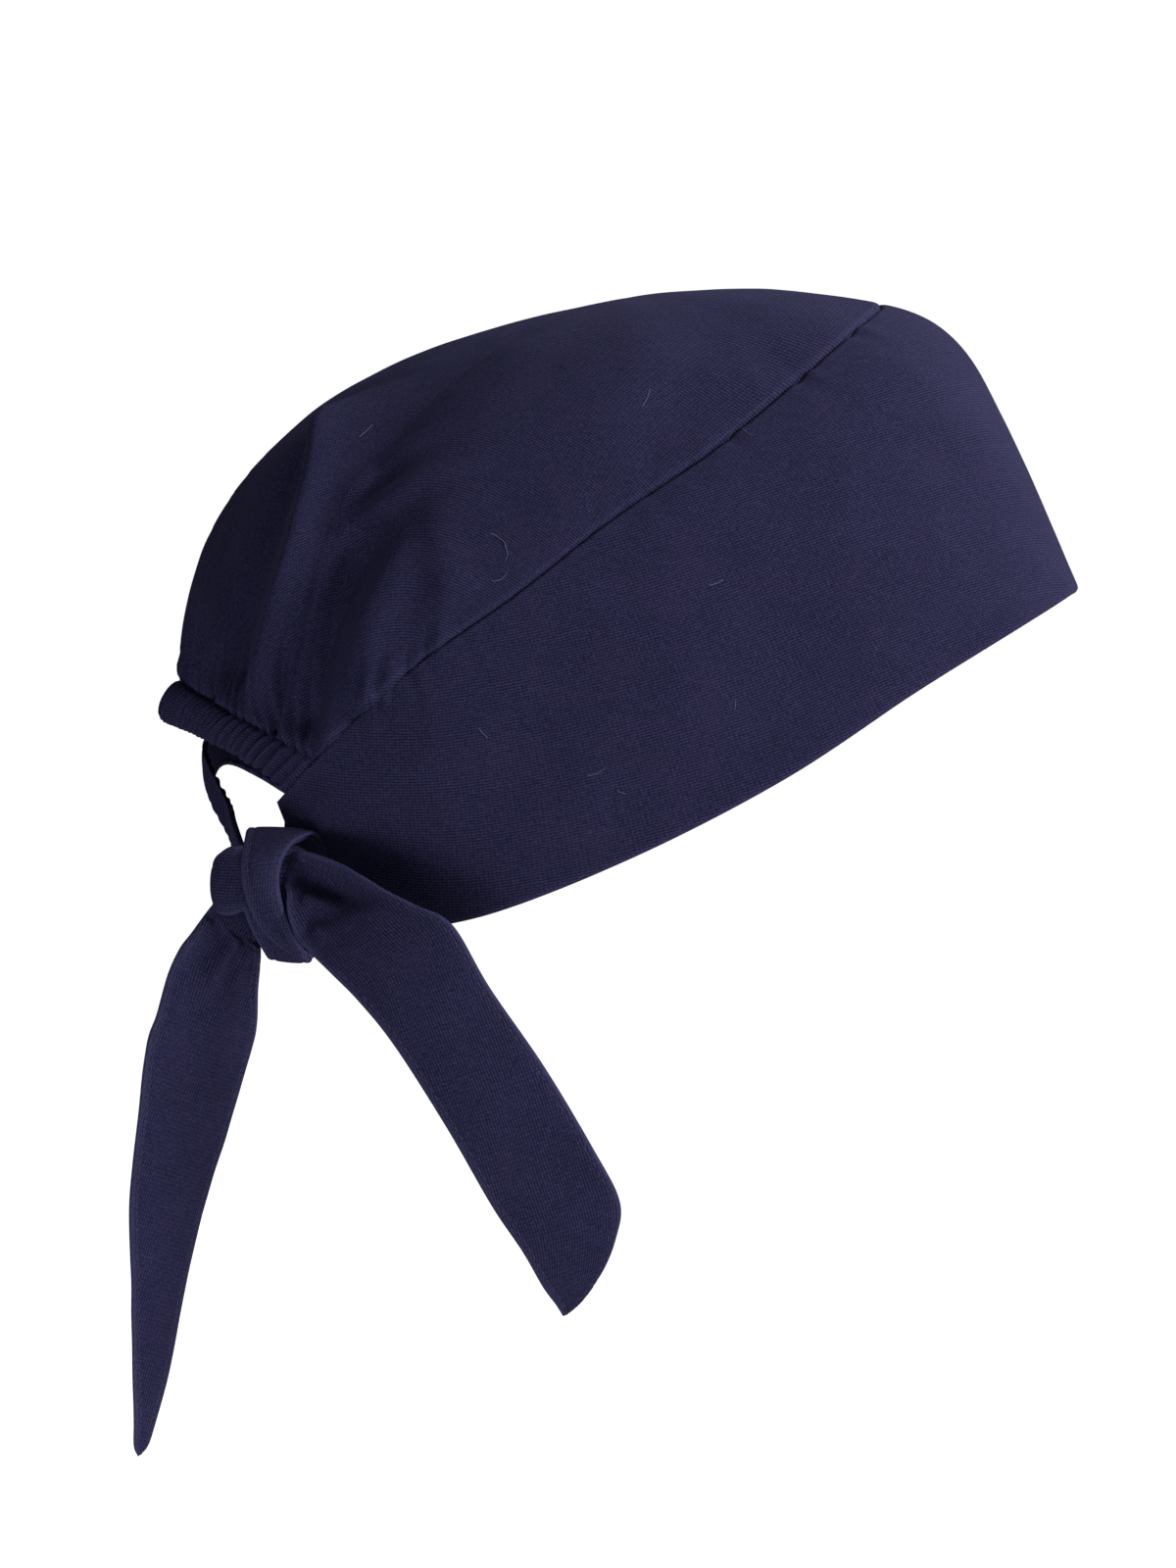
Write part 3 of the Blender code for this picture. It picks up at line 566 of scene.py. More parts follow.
def fold_lift(points, normals, line, fold):
    """How far one fold lifts each point, from the way to its line."""
    line = np.asarray(line)
    flat = points.reshape(-1, 3)
    out = normals.reshape(-1, 3)
    reach = MM * max(fold.left, fold.right) * 2.6
    close = np.all((flat > line.min(0) - reach) & (flat < line.max(0) + reach), axis=1)
    lift = np.zeros(len(flat))
    chosen = np.nonzero(close)[0]
    if not len(chosen):
        return lift.reshape(points.shape[:-1])
    offset = flat[chosen][:, None, :] - line[None, :, :]
    distance = np.linalg.norm(offset, axis=2)
    nearest = distance.argmin(1)
    away = distance[np.arange(len(chosen)), nearest]
    tangent = unit(np.gradient(line, axis=0))[nearest]
    side = np.einsum("ij,ij->i", np.cross(out[chosen], tangent), offset[np.arange(len(chosen)), nearest])
    width = np.where(side > 0, fold.left, fold.right) * MM
    way = nearest / (len(line) - 1)
    taper = np.clip(way / max(fold.start, 1e-6), 0, 1) * np.clip((1 - way) / max(fold.end, 1e-6), 0, 1)
    taper = taper * taper * (3 - 2 * taper)
    lift[chosen] = fold.rise * MM * np.exp(-((away / width) ** 2)) * taper
    return lift.reshape(points.shape[:-1])


def ripple(points, size, depth, seed):
    """A soft unevenness of the cloth, at one size."""
    flat = points.reshape(-1, 3)
    shift = Vector((seed * 3.1, seed * 1.7, seed * 2.3))
    values = [noise.noise(Vector(p) / size + shift) for p in flat]
    return depth * np.array(values).reshape(points.shape[:-1])


def arc_lengths(points):
    steps = np.linalg.norm(np.diff(points, axis=0), axis=1)
    return np.concatenate([[0.0], np.cumsum(steps)])


def deselect():
    if bpy.context.mode != "OBJECT":
        bpy.ops.object.mode_set(mode="OBJECT")
    bpy.ops.object.select_all(action="DESELECT")


def apply_modifiers(piece):
    deselect()
    bpy.context.view_layer.objects.active = piece
    piece.select_set(True)
    for modifier in list(piece.modifiers):
        bpy.ops.object.modifier_apply(modifier=modifier.name)
    piece.select_set(False)


def mesh_piece(name, points, faces):
    """A smooth piece from its points and faces, linked to the scene."""
    mesh = bpy.data.meshes.new(name)
    mesh.from_pydata(points, [], faces)
    mesh.shade_smooth()
    piece = bpy.data.objects.new(name, mesh)
    bpy.context.scene.collection.objects.link(piece)
    return piece


def cloth_piece(name, grid, flat, edge, loop=False, middle=None, wall=0.0, outward=None):
    """One sheet of cloth from a grid of points, with its flat cut as UV and, as a value, its mask of edge
    wear and painted highlight.
    """
    columns, rows = grid.shape[:2]
    points = grid.reshape(-1, 3)
    spans = columns if loop else columns - 1
    i = np.arange(spans)[:, None]
    j = np.arange(rows - 1)[None, :]
    k = (i + 1) % columns
    quads = np.stack([i * rows + j, k * rows + j, k * rows + j + 1, i * rows + j + 1], axis=-1).reshape(-1, 4)
    if outward is not None:
        a = points[quads[:, 1]] - points[quads[:, 0]]
        b = points[quads[:, 3]] - points[quads[:, 0]]
        way = np.einsum("ij,ij->i", np.cross(a, b), outward.reshape(-1, 3)[quads[:, 0]])
        if way.sum() < 0:
            quads = quads[:, ::-1]
    faces = quads.tolist()
    points = points.tolist()
    cut = flat.reshape(-1, 2).tolist()
    worn = edge.reshape(-1).tolist()
    if middle is not None:
        points.append(tuple(middle))
        cut.append((0.0, 0.0))
        worn.append(0.0)
        top = len(points) - 1
        turned = faces[0][0] != 0
        for m in range(spans):
            a = m * rows + rows - 1
            b = ((m + 1) % columns) * rows + rows - 1
            faces.append([b, a, top] if turned else [a, b, top])
    piece = mesh_piece(name, points, faces)
    mesh = piece.data
    uv = mesh.uv_layers.new(name="cut")
    corners = np.empty(len(mesh.loops), dtype=np.int64)
    mesh.loops.foreach_get("vertex_index", corners)
    uv.data.foreach_set("uv", np.asarray(cut)[corners].reshape(-1))
    # The mask lightens the cloth: partly wear, partly painted highlight on rounded edges and pleat ridges
    mesh.attributes.new("worn", "FLOAT", "POINT").data.foreach_set("value", worn)
    if wall:
        thick = piece.modifiers.new("wall", "SOLIDIFY")
        thick.thickness = wall
        thick.offset = -1.0
        apply_modifiers(piece)
    return piece


def finish_piece(piece, material, node=None):
    piece.data.materials.clear()
    piece.data.materials.append(material)
    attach(piece, "root")
    if node:
        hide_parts(node)
    return piece


# Materials


def socket(group, name, kind, default=None, output=False):
    made = group.interface.new_socket(name, in_out="OUTPUT" if output else "INPUT", socket_type=kind)
    if default is not None:
        made.default_value = default
    return made


def maths(tree, operation, first, second=None, clamp=False):
    node = tree.nodes.new("ShaderNodeMath")
    node.operation = operation
    node.use_clamp = clamp
    for index, value in enumerate((first, second)):
        if value is None:
            continue
        if isinstance(value, (int, float)):
            node.inputs[index].default_value = value
        else:
            tree.links.new(value, node.inputs[index])
    return node.outputs[0]


def raised(tree, value, share, start):
    """A value times a share, plus a start."""
    node = tree.nodes.new("ShaderNodeMath")
    node.operation = "MULTIPLY_ADD"
    tree.links.new(value, node.inputs[0])
    node.inputs[1].default_value = share
    node.inputs[2].default_value = start
    return node.outputs[0]


def mixed(tree, share, first, second):
    node = tree.nodes.new("ShaderNodeMix")
    node.data_type = "RGBA"
    for key, value in (("Factor", share), ("A", first), ("B", second)):
        target = next(s for s in node.inputs if s.name == key and s.enabled)
        if isinstance(value, (int, float, tuple)):
            target.default_value = value
        else:
            tree.links.new(value, target)
    return next(s for s in node.outputs if s.enabled)


def speckle(tree, place, scale, detail):
    node = tree.nodes.new("ShaderNodeTexNoise")
    node.inputs["Scale"].default_value = scale
    node.inputs["Detail"].default_value = detail
    node.inputs["Roughness"].default_value = 0.6
    tree.links.new(place, node.inputs["Vector"])
    return node.outputs["Fac"]


def opaque(colour, share=1.0):
    """A colour or a share of it, with full alpha."""
    return tuple(c * share for c in colour) + (1.0,)


def new_material(name):
    """A new material with its tree and its shader."""
    material = bpy.data.materials.new(name)
    material.use_nodes = True
    return material, material.node_tree, material.node_tree.nodes["Principled BSDF"]


def twill_group():
    """Fine diagonal twill: raised lines, fuzz, soft unevenness of the dye, and lighter cloth along the mask
    of edge wear and painted highlight.
    """
    if "fine_twill" in bpy.data.node_groups:
        return bpy.data.node_groups["fine_twill"]
    tree = bpy.data.node_groups.new("fine_twill", "ShaderNodeTree")
    socket(tree, "Cut", "NodeSocketVector")
    socket(tree, "Place", "NodeSocketVector")
    # Mask input: partly edge wear, partly painted highlight on rounded edges and pleat ridges
    socket(tree, "Worn", "NodeSocketFloat", 0.0)
    socket(tree, "Cloth", "NodeSocketColor", (0.03, 0.029, 0.068, 1.0))
    socket(tree, "Lit thread", "NodeSocketColor", (0.06, 0.06, 0.125, 1.0))
    socket(tree, "Warm thread", "NodeSocketColor", (0.03, 0.02, 0.05, 1.0))
    socket(tree, "Pitch", "NodeSocketFloat", 0.0007)
    socket(tree, "Colour", "NodeSocketColor", output=True)
    socket(tree, "Roughness", "NodeSocketFloat", output=True)
    socket(tree, "Height", "NodeSocketFloat", output=True)
    ins = tree.nodes.new("NodeGroupInput").outputs
    outs = tree.nodes.new("NodeGroupOutput").inputs
    split = tree.nodes.new("ShaderNodeSeparateXYZ")
    tree.links.new(ins["Cut"], split.inputs[0])
    u, v = split.outputs["X"], split.outputs["Y"]

    def times(value, share):
        return maths(tree, "MULTIPLY", value, share)

    def plus(first, second, clamp=False):
        return maths(tree, "ADD", first, second, clamp)

    def over(value, limit, clamp=False):
        return maths(tree, "SUBTRACT", value, limit, clamp)

    # The weave: lines along the cut's slant, and the threads that float across them
    wobble = times(speckle(tree, ins["Cut"], 700.0, 1.0), 0.00030)
    slope = plus(times(u, TWILL_SLANT[0]), times(v, TWILL_SLANT[1]))
    across = plus(times(u, TWILL_SLANT[1]), times(v, -TWILL_SLANT[0]))
    slope = plus(slope, wobble)
    turn = maths(tree, "DIVIDE", math.tau, ins["Pitch"])
    lines = raised(tree, maths(tree, "SINE", times(slope, turn)), 0.5, 0.5)
    floats = times(times(across, turn), 0.70)
    floats = raised(tree, maths(tree, "SINE", floats), 0.5, 0.5)
    threads = times(lines, raised(tree, floats, 0.5, 0.5))
    fuzz = speckle(tree, ins["Place"], 1350.0, 2.0)
    height = plus(times(threads, 0.8), times(fuzz, 0.6))
    # The shade: threads, grain, dye, light specks, and the mask of edge wear and painted highlight on edges
    # and pleat ridges
    dye = speckle(tree, ins["Place"], 46.0, 3.0)
    grain = over(speckle(tree, ins["Place"], 1900.0, 1.0), 0.5)
    specks = over(speckle(tree, ins["Place"], 900.0, 1.0), 0.70, True)
    shade = raised(tree, threads, 0.80, -0.02)
    shade = plus(shade, times(grain, 1.3))
    shade = plus(shade, times(over(dye, 0.5), 0.35))
    shade = plus(shade, times(specks, 2.0))
    shade = plus(shade, times(ins["Worn"], 0.8), True)
    colour = mixed(tree, shade, ins["Cloth"], ins["Lit thread"])
    tint = speckle(tree, ins["Place"], 90.0, 2.0)
    tint = maths(tree, "MULTIPLY", over(tint, 0.48), 3.0, True)
    colour = mixed(tree, times(tint, 0.22), colour, ins["Warm thread"])
    tree.links.new(colour, outs["Colour"])
    tree.links.new(raised(tree, threads, 0.10, 0.84), outs["Roughness"])
    tree.links.new(height, outs["Height"])
    return tree


def cloth_material(name, worn=1.0):
    """Navy twill, its weave laid along the piece's flat cut."""
    if name in bpy.data.materials:
        return bpy.data.materials[name]
    material, tree, shader = new_material(name)
    group = tree.nodes.new("ShaderNodeGroup")
    group.node_tree = twill_group()
    cut = tree.nodes.new("ShaderNodeUVMap")
    cut.uv_map = "cut"
    place = tree.nodes.new("ShaderNodeTexCoord")
    # The attribute is the mask of edge wear and painted highlight; the share sets how much of it this piece
    # shows
    edge = tree.nodes.new("ShaderNodeAttribute")
    edge.attribute_name = "worn"
    tree.links.new(cut.outputs["UV"], group.inputs["Cut"])
    tree.links.new(place.outputs["Object"], group.inputs["Place"])
    tree.links.new(maths(tree, "MULTIPLY", edge.outputs["Fac"], worn), group.inputs["Worn"])
    group.inputs["Cloth"].default_value = opaque(colours().navy)
    group.inputs["Lit thread"].default_value = opaque(colours().lit)
    group.inputs["Warm thread"].default_value = opaque(colours().warm)
    group.inputs["Pitch"].default_value = colours().twill_pitch
    bump = tree.nodes.new("ShaderNodeBump")
    bump.inputs["Strength"].default_value = 0.55
    bump.inputs["Distance"].default_value = WEAVE_DEPTH
    tree.links.new(group.outputs["Height"], bump.inputs["Height"])
    tree.links.new(group.outputs["Colour"], shader.inputs["Base Color"])
    tree.links.new(group.outputs["Roughness"], shader.inputs["Roughness"])
    tree.links.new(bump.outputs["Normal"], shader.inputs["Normal"])
    shader.inputs["Sheen Weight"].default_value = 0.025
    shader.inputs["Sheen Roughness"].default_value = 0.55
    shader.inputs["Sheen Tint"].default_value = (0.50, 0.50, 1.0, 1.0)
    shader.inputs["Specular IOR Level"].default_value = 0.03
    material.diffuse_color = opaque(colours().navy)
    return material


def thread_material():
    """Twisted sewing thread, a little lighter than the cloth."""
    return fibre_material("sewing_thread", colours().thread, (0.6, 1.4), 2600.0, 0.6)


def fibre_material(name, base, shares, scale, roughness):
    """Thread or fibre: in small patches its colour goes between two shares of the base."""
    if name in bpy.data.materials:
        return bpy.data.materials[name]
    material, tree, shader = new_material(name)
    place = tree.nodes.new("ShaderNodeTexCoord")
    patchy = speckle(tree, place.outputs["Object"], scale, 1.0)
    colour = mixed(tree, patchy, opaque(base, shares[0]), opaque(base, shares[1]))
    tree.links.new(colour, shader.inputs["Base Color"])
    shader.inputs["Roughness"].default_value = roughness
    return material


# The crown, the band and the casing


def pleat_plan():
    """The pleats of the casing, each with its own width, depth, lean and run up the crown."""
    chance = random.Random(11)
    widths = [chance.uniform(0.62, 1.5) for _ in range(sizes().pleats)]
    starts = [-1.0]
    for width in widths:
        starts.append(starts[-1] + 2 * width / sum(widths))
    return [
        Pleat(start, end, chance.uniform(0.6, 1.2), chance.uniform(-0.4, 0.4), chance.uniform(4, 17))
        for start, end in zip(starts, starts[1:])
    ]


def pleat_shape(across, plan, lean=0.0):
    """Height of the pleats from 0 in a crease to 1 on a ridge, and each one's own depth and reach."""
    starts, ends, depths, leans, reaches = (np.array(column) for column in zip(*plan))
    bounds = np.append(starts, ends[-1])
    index = np.clip(np.searchsorted(bounds, across, side="right") - 1, 0, len(plan) - 1)
    left, right = bounds[index], bounds[index + 1]
    way = np.clip(2 * (across - left) / (right - left) - 1 + leans[index] * lean, -1, 1)
    return 1 - np.abs(way) ** 1.5, depths[index], reaches[index]


def fine_heights(span):
    """Shares of the way up, close together beside the seam."""
    near = SEAM_STEPS / span
    return np.concatenate([near, np.linspace(near[-1] + 0.0024 / span, 1.0, int(span / 0.0016))])


def seam_lift(turns, millimetres, crown):
    """Lift of the cloth beside the seam by its puckers, and by small ones all along."""
    chance = random.Random(5 if crown else 6)
    turns = np.asarray(turns)[:, None]
    lift = np.zeros((len(turns), len(millimetres[0])))
    small = [
        Pucker(chance.uniform(-4.1, 4.1), chance.uniform(-0.30, 0.22), chance.uniform(-0.28, 0.22),
               chance.uniform(3, 9))
        for _ in range(SMALL_PUCKERS)
    ]
    for row in SEAM_PUCKERS + tuple(small):
        rise = row.crown if crown else row.band
        across = (turns - row.turn) * SIXTH_LENGTH
        width = 1.5 + 0.12 * millimetres
        lift += rise * np.exp(-((across / width) ** 2)) * np.exp(-((millimetres / row.reach) ** 1.3))
    return lift * MM


def tuck(millimetres, depth, radius):
    """A rounded turn-in at a sewn edge."""
    share = np.clip(1 - millimetres / radius, 0, 1)
    return depth * (1 - np.sqrt(np.clip(1 - share**2, 0, 1)))


def turn_in(unfolded, grid, flat, worn, normals):
    """Runs the sewn edge on behind the next piece, so that no light comes through the seam."""
    down = unit(unfolded[:, 0] - unfolded[:, 8])
    for run, sink in TURN_IN:
        edge = grid[:, 0] + down * run - normals[:, 0] * sink
        spread = 1 + run / np.linalg.norm(flat[:, :1], axis=2)
        grid = np.concatenate([edge[:, None], grid], axis=1)
        flat = np.concatenate([flat[:, :1] * spread[..., None], flat], axis=1)
        worn = np.concatenate([0 * worn[:, :1], worn], axis=1)
        normals = np.concatenate([normals[:, :1], normals], axis=1)
    return grid, flat, worn, normals


def lengths_up(grid):
    """How far each point of a grid lies from the start of its column."""
    steps = np.linalg.norm(np.diff(grid, axis=1), axis=2)
    return np.concatenate([np.zeros((len(grid), 1)), np.cumsum(steps, axis=1)], axis=1)


def crown_surface():
    """The crown's points, its flat cut, its mask of edge wear and painted highlight, and its ways out."""
    turns = np.concatenate([
        np.linspace(-SIXTHS, -3.7, 200)[:-1],
        np.linspace(-3.7, 3.7, 180)[:-1],
        np.linspace(3.7, SIXTHS, 130)[:-1],
    ])
    heights = fine_heights(CROWN_SPAN)
    heights = heights[heights < CROWN_END]
    grid = crown_smooth(turns, heights)
    normals = grid_normals(grid, loop=True)
    centre = np.array((0.0, 0.0, 0.03))
    if np.einsum("ijk,ijk->ij", normals, grid - centre).sum() < 0:
        normals = -normals
    along = lengths_up(grid)
    lift = np.zeros(grid.shape[:2])
    for fold in CROWN_FOLDS:
        places = run_along(fold.line, FOLD_STEPS)
        line = [crown_smooth([p.across], [max(p.up, 0.0)])[0][0] for p in places]
        lift += fold_lift(grid, normals, line, fold) * sizes().fold_share
    lift += seam_lift(turns, along * TO_MM, True)
    gathered = np.sign(turns) * (SIXTHS - np.abs(turns)) / (SIXTHS - SEAM_SIXTHS)
    inside = np.clip((1.04 - np.abs(gathered)) / 0.08, 0, 1)
    height, depth, reach = pleat_shape(gathered, pleat_plan())
    fade = np.exp(-((along * TO_MM) / reach[:, None]) ** 1.4)
    lift += ((height - 0.5) * depth * inside)[:, None] * fade * sizes().pleat_depth * GATHER_SHARE
    lift += ripple(grid, 0.020, 0.00035, 1) + ripple(grid, 0.008, 0.00012, 2)
    lift *= np.clip((1 - heights) / 0.12, 0, 1)[None, :]
    lift -= tuck(along, sizes().seam_tuck, CROWN_EDGE_ROUND)
    flat_angle = (turns / SIXTHS * math.pi)[:, None]
    radius = along[:, -1:] - along + 0.002
    flat = np.stack([radius * np.cos(flat_angle), radius * np.sin(flat_angle)], axis=-1)
    # A lighter strip 1.2 mm from the sewn edge, on the rounded turn-in: partly wear, partly painted highlight
    worn = np.exp(-((along * TO_MM - 1.2) / 0.7) ** 2) * 0.25
    lean = np.clip(-grid[..., 1:2] / 0.03, 0, 1) * vector(NEAR) * 0.8
    ways = unit(normals + lean)
    return turn_in(grid, grid + ways * lift[..., None], flat, worn, normals)


def band_surface():
    """The band's points from rim to seam, its flat cut, its mask of edge wear and painted highlight, and its
    ways out.
    """
    near = [(-1, p) for p in np.linspace(len(NEAR_ROWS) - 1, 0, 190)[:-1]]
    far = [(1, p) for p in np.linspace(0, len(FAR_ROWS) - 1, 250)]
    stations = near + far
    heights = np.concatenate([[0.0, 0.006, 0.014, 0.026, 0.042], np.linspace(0.06, 0.94, 46),
                              [0.955, 0.968, 0.979, 0.988, 0.995, 1.0]])
    grid = band_smooth(stations, heights)
    normals = grid_normals(grid)
    reference = np.array([tuple(band_outward(*station)) for station in stations])
    if np.einsum("ik,ijk->ij", reference, normals).sum() < 0:
        normals = -normals
    along = lengths_up(grid)
    below = along[:, -1:] - along
    lift = np.zeros(grid.shape[:2])
    for side, folds in ((-1, NEAR_FOLDS), (1, FAR_FOLDS)):
        for fold in folds:
            places = run_along(fold.line, FOLD_STEPS)
            line = [band_smooth([(side, p.across)], [p.up])[0][0] for p in places]
            lift += fold_lift(grid, normals, line, fold)
    ends = [NEAR_SEAM_END if side < 0 else FAR_SEAM_END for side, _ in stations]
    turns = [side * SEAM_SIXTHS * place / end for (side, place), end in zip(stations, ends)]
    lift += seam_lift(turns, below * TO_MM, False)
    lift += ripple(grid, 0.030, 0.00045, 3) + ripple(grid, 0.009, 0.00010, 4)
    sewn = np.array([1.0 if place <= end + 0.1 else 0.0 for (_, place), end in zip(stations, ends)])[:, None]
    strap = np.array([np.clip((place - STRAP_START) / 0.6, 0, 1) * (side > 0) for side, place in stations])
    lift *= 1 - 0.8 * strap[:, None]
    length = arc_lengths(grid[:, len(heights) // 2])
    ruffle = np.abs(np.sin(length / RUFFLE_PITCH * math.pi / 2 + 0.4 * np.sin(length / 0.004)))
    calm = np.array([np.clip((RUFFLE_END - place) / 0.8, 0, 1) for _, place in stations])
    swell = np.sin(np.pi * np.clip(heights, 0, 1))[None, :] ** 0.5
    lift += (strap * calm * ruffle * RUFFLE_DEPTH)[:, None] * swell
    lift -= tuck(below, sizes().seam_tuck * 0.8, BAND_EDGE_ROUND) * sewn
    lift -= tuck(along, BAND_RIM_TUCK, BAND_RIM_ROUND)
    flat = np.stack([np.repeat(length[:, None], len(heights), 1), along], axis=-1)
    # Lighter strips 0.5 mm above the rolled rim and 1 mm below the seam: partly wear, partly painted
    # highlight
    worn = np.exp(-((along * TO_MM - 0.5) / 0.6) ** 2) * 0.45
    worn = worn + np.exp(-((below * TO_MM - 1.0) / 0.6) ** 2) * 0.2
    return grid + normals * lift[..., None], flat, worn, normals


def casing_surface():
    """The casing as a flat tube: down its pleated face and up its back, one column for each station."""
    plan = pleat_plan()
    places = np.linspace(-0.998, 0.998, sizes().pleats * PLEAT_COLUMNS)
    length = sum(
        (casing_edge(a, False) - casing_edge(a + 0.02, False)).length for a in np.linspace(-1, 0.98, 100))
    grid = []
    worn = []
    flat = []
    for across in places:
        top = casing_edge(across, False)
        low = casing_edge(across, True)
        along = (casing_edge(across + 0.01, False) - casing_edge(across - 0.01, False)).normalized()
        down = (low - top).normalized()
        middle = 1 - abs(across) ** 6
        band = band_outward(-1, NEAR_SEAM_END) if across < 0 else band_outward(1, FAR_SEAM_END)
        outward = band.lerp(along.cross(down).normalized(), middle).normalized()
        height = CASING_HEIGHT * middle + (low - top).length * (1 - middle)

        def station(share, lean):
            shape = pleat_shape(np.array([across]), plan, lean * (share - 0.4))
            puff = CASING_PUFF * math.sin(math.pi * min(share, 0.94) / 0.94) ** 0.7 * middle
            return float(shape[0][0]), float(shape[1][0]), puff

        column = []
        values = []
        for share in CASING_SHARES:
            ridge, depth, puff = station(share, 1.6)
            pleat = (ridge - 0.60) * depth * sizes().pleat_depth * middle * min(1.0, 0.55 + 3 * share)
            end = CASING_EDGE * min(1.0, (1 - share) / 0.07) if share > 0.93 else CASING_EDGE
            scallop = 0.0007 * (ridge - 0.4) * depth * share**4 * middle
            at = top + down * (height * share + scallop) + outward * (puff + pleat - CASING_EDGE + end)
            tucked = max(0.0, 1 - share / 0.09) * 0.0014
            column.append(tuple(at - outward * tucked))
            # Painted highlight on the crests of the pleats, on the casing's front face only
            values.append(0.35 * max(0.0, ridge - 0.75) / 0.25 * depth)
        for share in CASING_SHARES[::-1][1:]:
            ridge, depth, puff = station(share, -1.2)
            at = top + down * height * share + outward * (puff - CASING_WALL - 0.0003 * ridge * middle)
            at += outward * 0.0010 * max(0.0, (share - 0.86) / 0.14)
            column.append(tuple(at))
            values.append(0.0)
        grid.append(column)
        worn.append(values)
        flat.append([(across * length / 2 * CASING_FULLNESS, k * 0.0011) for k in range(len(column))])
    return np.array(grid), np.array(flat), np.array(worn)


# The knot, the tie ends and their threads


def side_place(right, rise, near):
    """A place given in mm from the middle of the knot, as seen from the side."""
    return KNOT_MIDDLE + (RIGHT * right + RISE * rise + NEAR * near) * MM


def strap_edges(row):
    """The places of a row's left and right edges."""
    return (side_place(row.left_x, row.left_z, row.left_y), side_place(row.right_x, row.right_z, row.right_y))


def strap_grid(rows, steps, shares, closed=False):
    """The middle sheet of a strap from the places of its two edges."""
    grid = []
    count = len(rows) if closed else len(rows) - 1
    ring = rows + rows[:3] if closed else rows
    for m in range(steps if closed else steps + 1):
        row = smooth(ring, count * m / steps, before=rows[-1] if closed else None)
        left, right = strap_edges(row)
        swell = row.swell * MM
        grid.append([tuple(left.lerp(right, (s + 1) / 2)) + (swell * (1 - s * s),) for s in shares])
    grid = np.array(grid)
    points, swell = grid[..., :3], grid[..., 3]
    return points, swell, grid_normals(points, loop=closed)


def side_fold_line(fold, points):
    """A fold's places, carried from the side view onto the sheet."""
    flat = points.reshape(-1, 3)
    right = (flat - vector(KNOT_MIDDLE)) @ vector(RIGHT) * TO_MM
    rise = (flat - vector(KNOT_MIDDLE)) @ vector(RISE) * TO_MM
    places = run_along(fold.line, 24)
    line = np.array([flat[np.hypot(right - p.across, rise - p.up).argmin()] for p in places])
    for _ in range(3):
        line[1:-1] = (line[:-2] + 2 * line[1:-1] + line[2:]) / 4
    return line


def strap_piece(name, rows, steps, wall, folds=(), across=29, closed=False):
    """A sewn strap: a sheet with hemmed edges, folds and thickness. Returns its outer face too."""
    even = np.linspace(-1, 1, across)
    shares = np.sin(np.linspace(-math.pi / 2, math.pi / 2, across)) * 0.35 + even * 0.65
    points, swell, normals = strap_grid(rows, steps, shares, closed)
    if closed:
        if np.einsum("ijk,ijk->", normals, points - vector(KNOT_MIDDLE)) < 0:
            normals = -normals
    elif (normals @ vector(NEAR)).sum() < 0:
        normals = -normals
    points = points + normals * swell[..., None]
    lift = np.zeros(points.shape[:2])
    for fold in folds:
        lift += fold_lift(points, normals, side_fold_line(fold, points), fold)
    width = np.linalg.norm(points[:, -1] - points[:, 0], axis=1)[:, None]
    edge = (1 - np.abs(shares))[None, :] * width / 2
    groove = np.exp(-(((edge - HEM) / 0.00035) ** 2)) * 0.00022
    roll = tuck(edge, 0.0006, 0.0009)
    lift += ripple(points, 0.009, 0.00022, 7) - groove - roll
    out = points + normals * (lift + wall / 2)[..., None]
    length = arc_lengths(points[:, across // 2])
    cut = np.stack([np.repeat(length[:, None], across, 1), shares[None, :] * width / 2], axis=-1)
    # Lighter lines 0.4 mm in from the rolled edge and along the hem line: partly wear, partly painted
    # highlight
    worn = np.exp(-(((edge - 0.0004) / 0.0006) ** 2)) * 0.8 + np.exp(-(((edge - HEM) / 0.0004) ** 2)) * 0.25
    worn = np.broadcast_to(worn, points.shape[:2])
    piece = cloth_piece(name, out, cut, worn, loop=closed, wall=wall, outward=normals)
    return piece, out, normals, cut


def stitch_shape(length, thickness):
    """One stitch, modelled once: a short thread that dips into the cloth at both ends."""
    deselect()
    bpy.ops.mesh.primitive_cylinder_add(vertices=6, radius=thickness / 2, depth=length)
    stitch = bpy.context.active_object
    bpy.ops.object.mode_set(mode="EDIT")
    bpy.ops.mesh.select_all(action="SELECT")
    bpy.ops.transform.rotate(value=math.pi / 2, orient_axis="Y", center_override=(0, 0, 0))
    for share in (-0.2, 0.2):
        bpy.ops.mesh.select_all(action="SELECT")
        bpy.ops.mesh.bisect(plane_co=(length * share, 0, 0), plane_no=(1, 0, 0))
    bpy.ops.object.mode_set(mode="OBJECT")
    faces = [tuple(f.vertices) for f in stitch.data.polygons]
    shaped = []
    for p in (v.co for v in stitch.data.vertices):
        end = min(1.0, abs(p.x) / (length / 2))
        slim = 1 - 0.45 * end**3
        shaped.append(Vector((p.x, p.y * slim, p.z * slim - thickness * 0.7 * end**2)))
    bpy.data.objects.remove(stitch, do_unlink=True)
    return shaped, faces


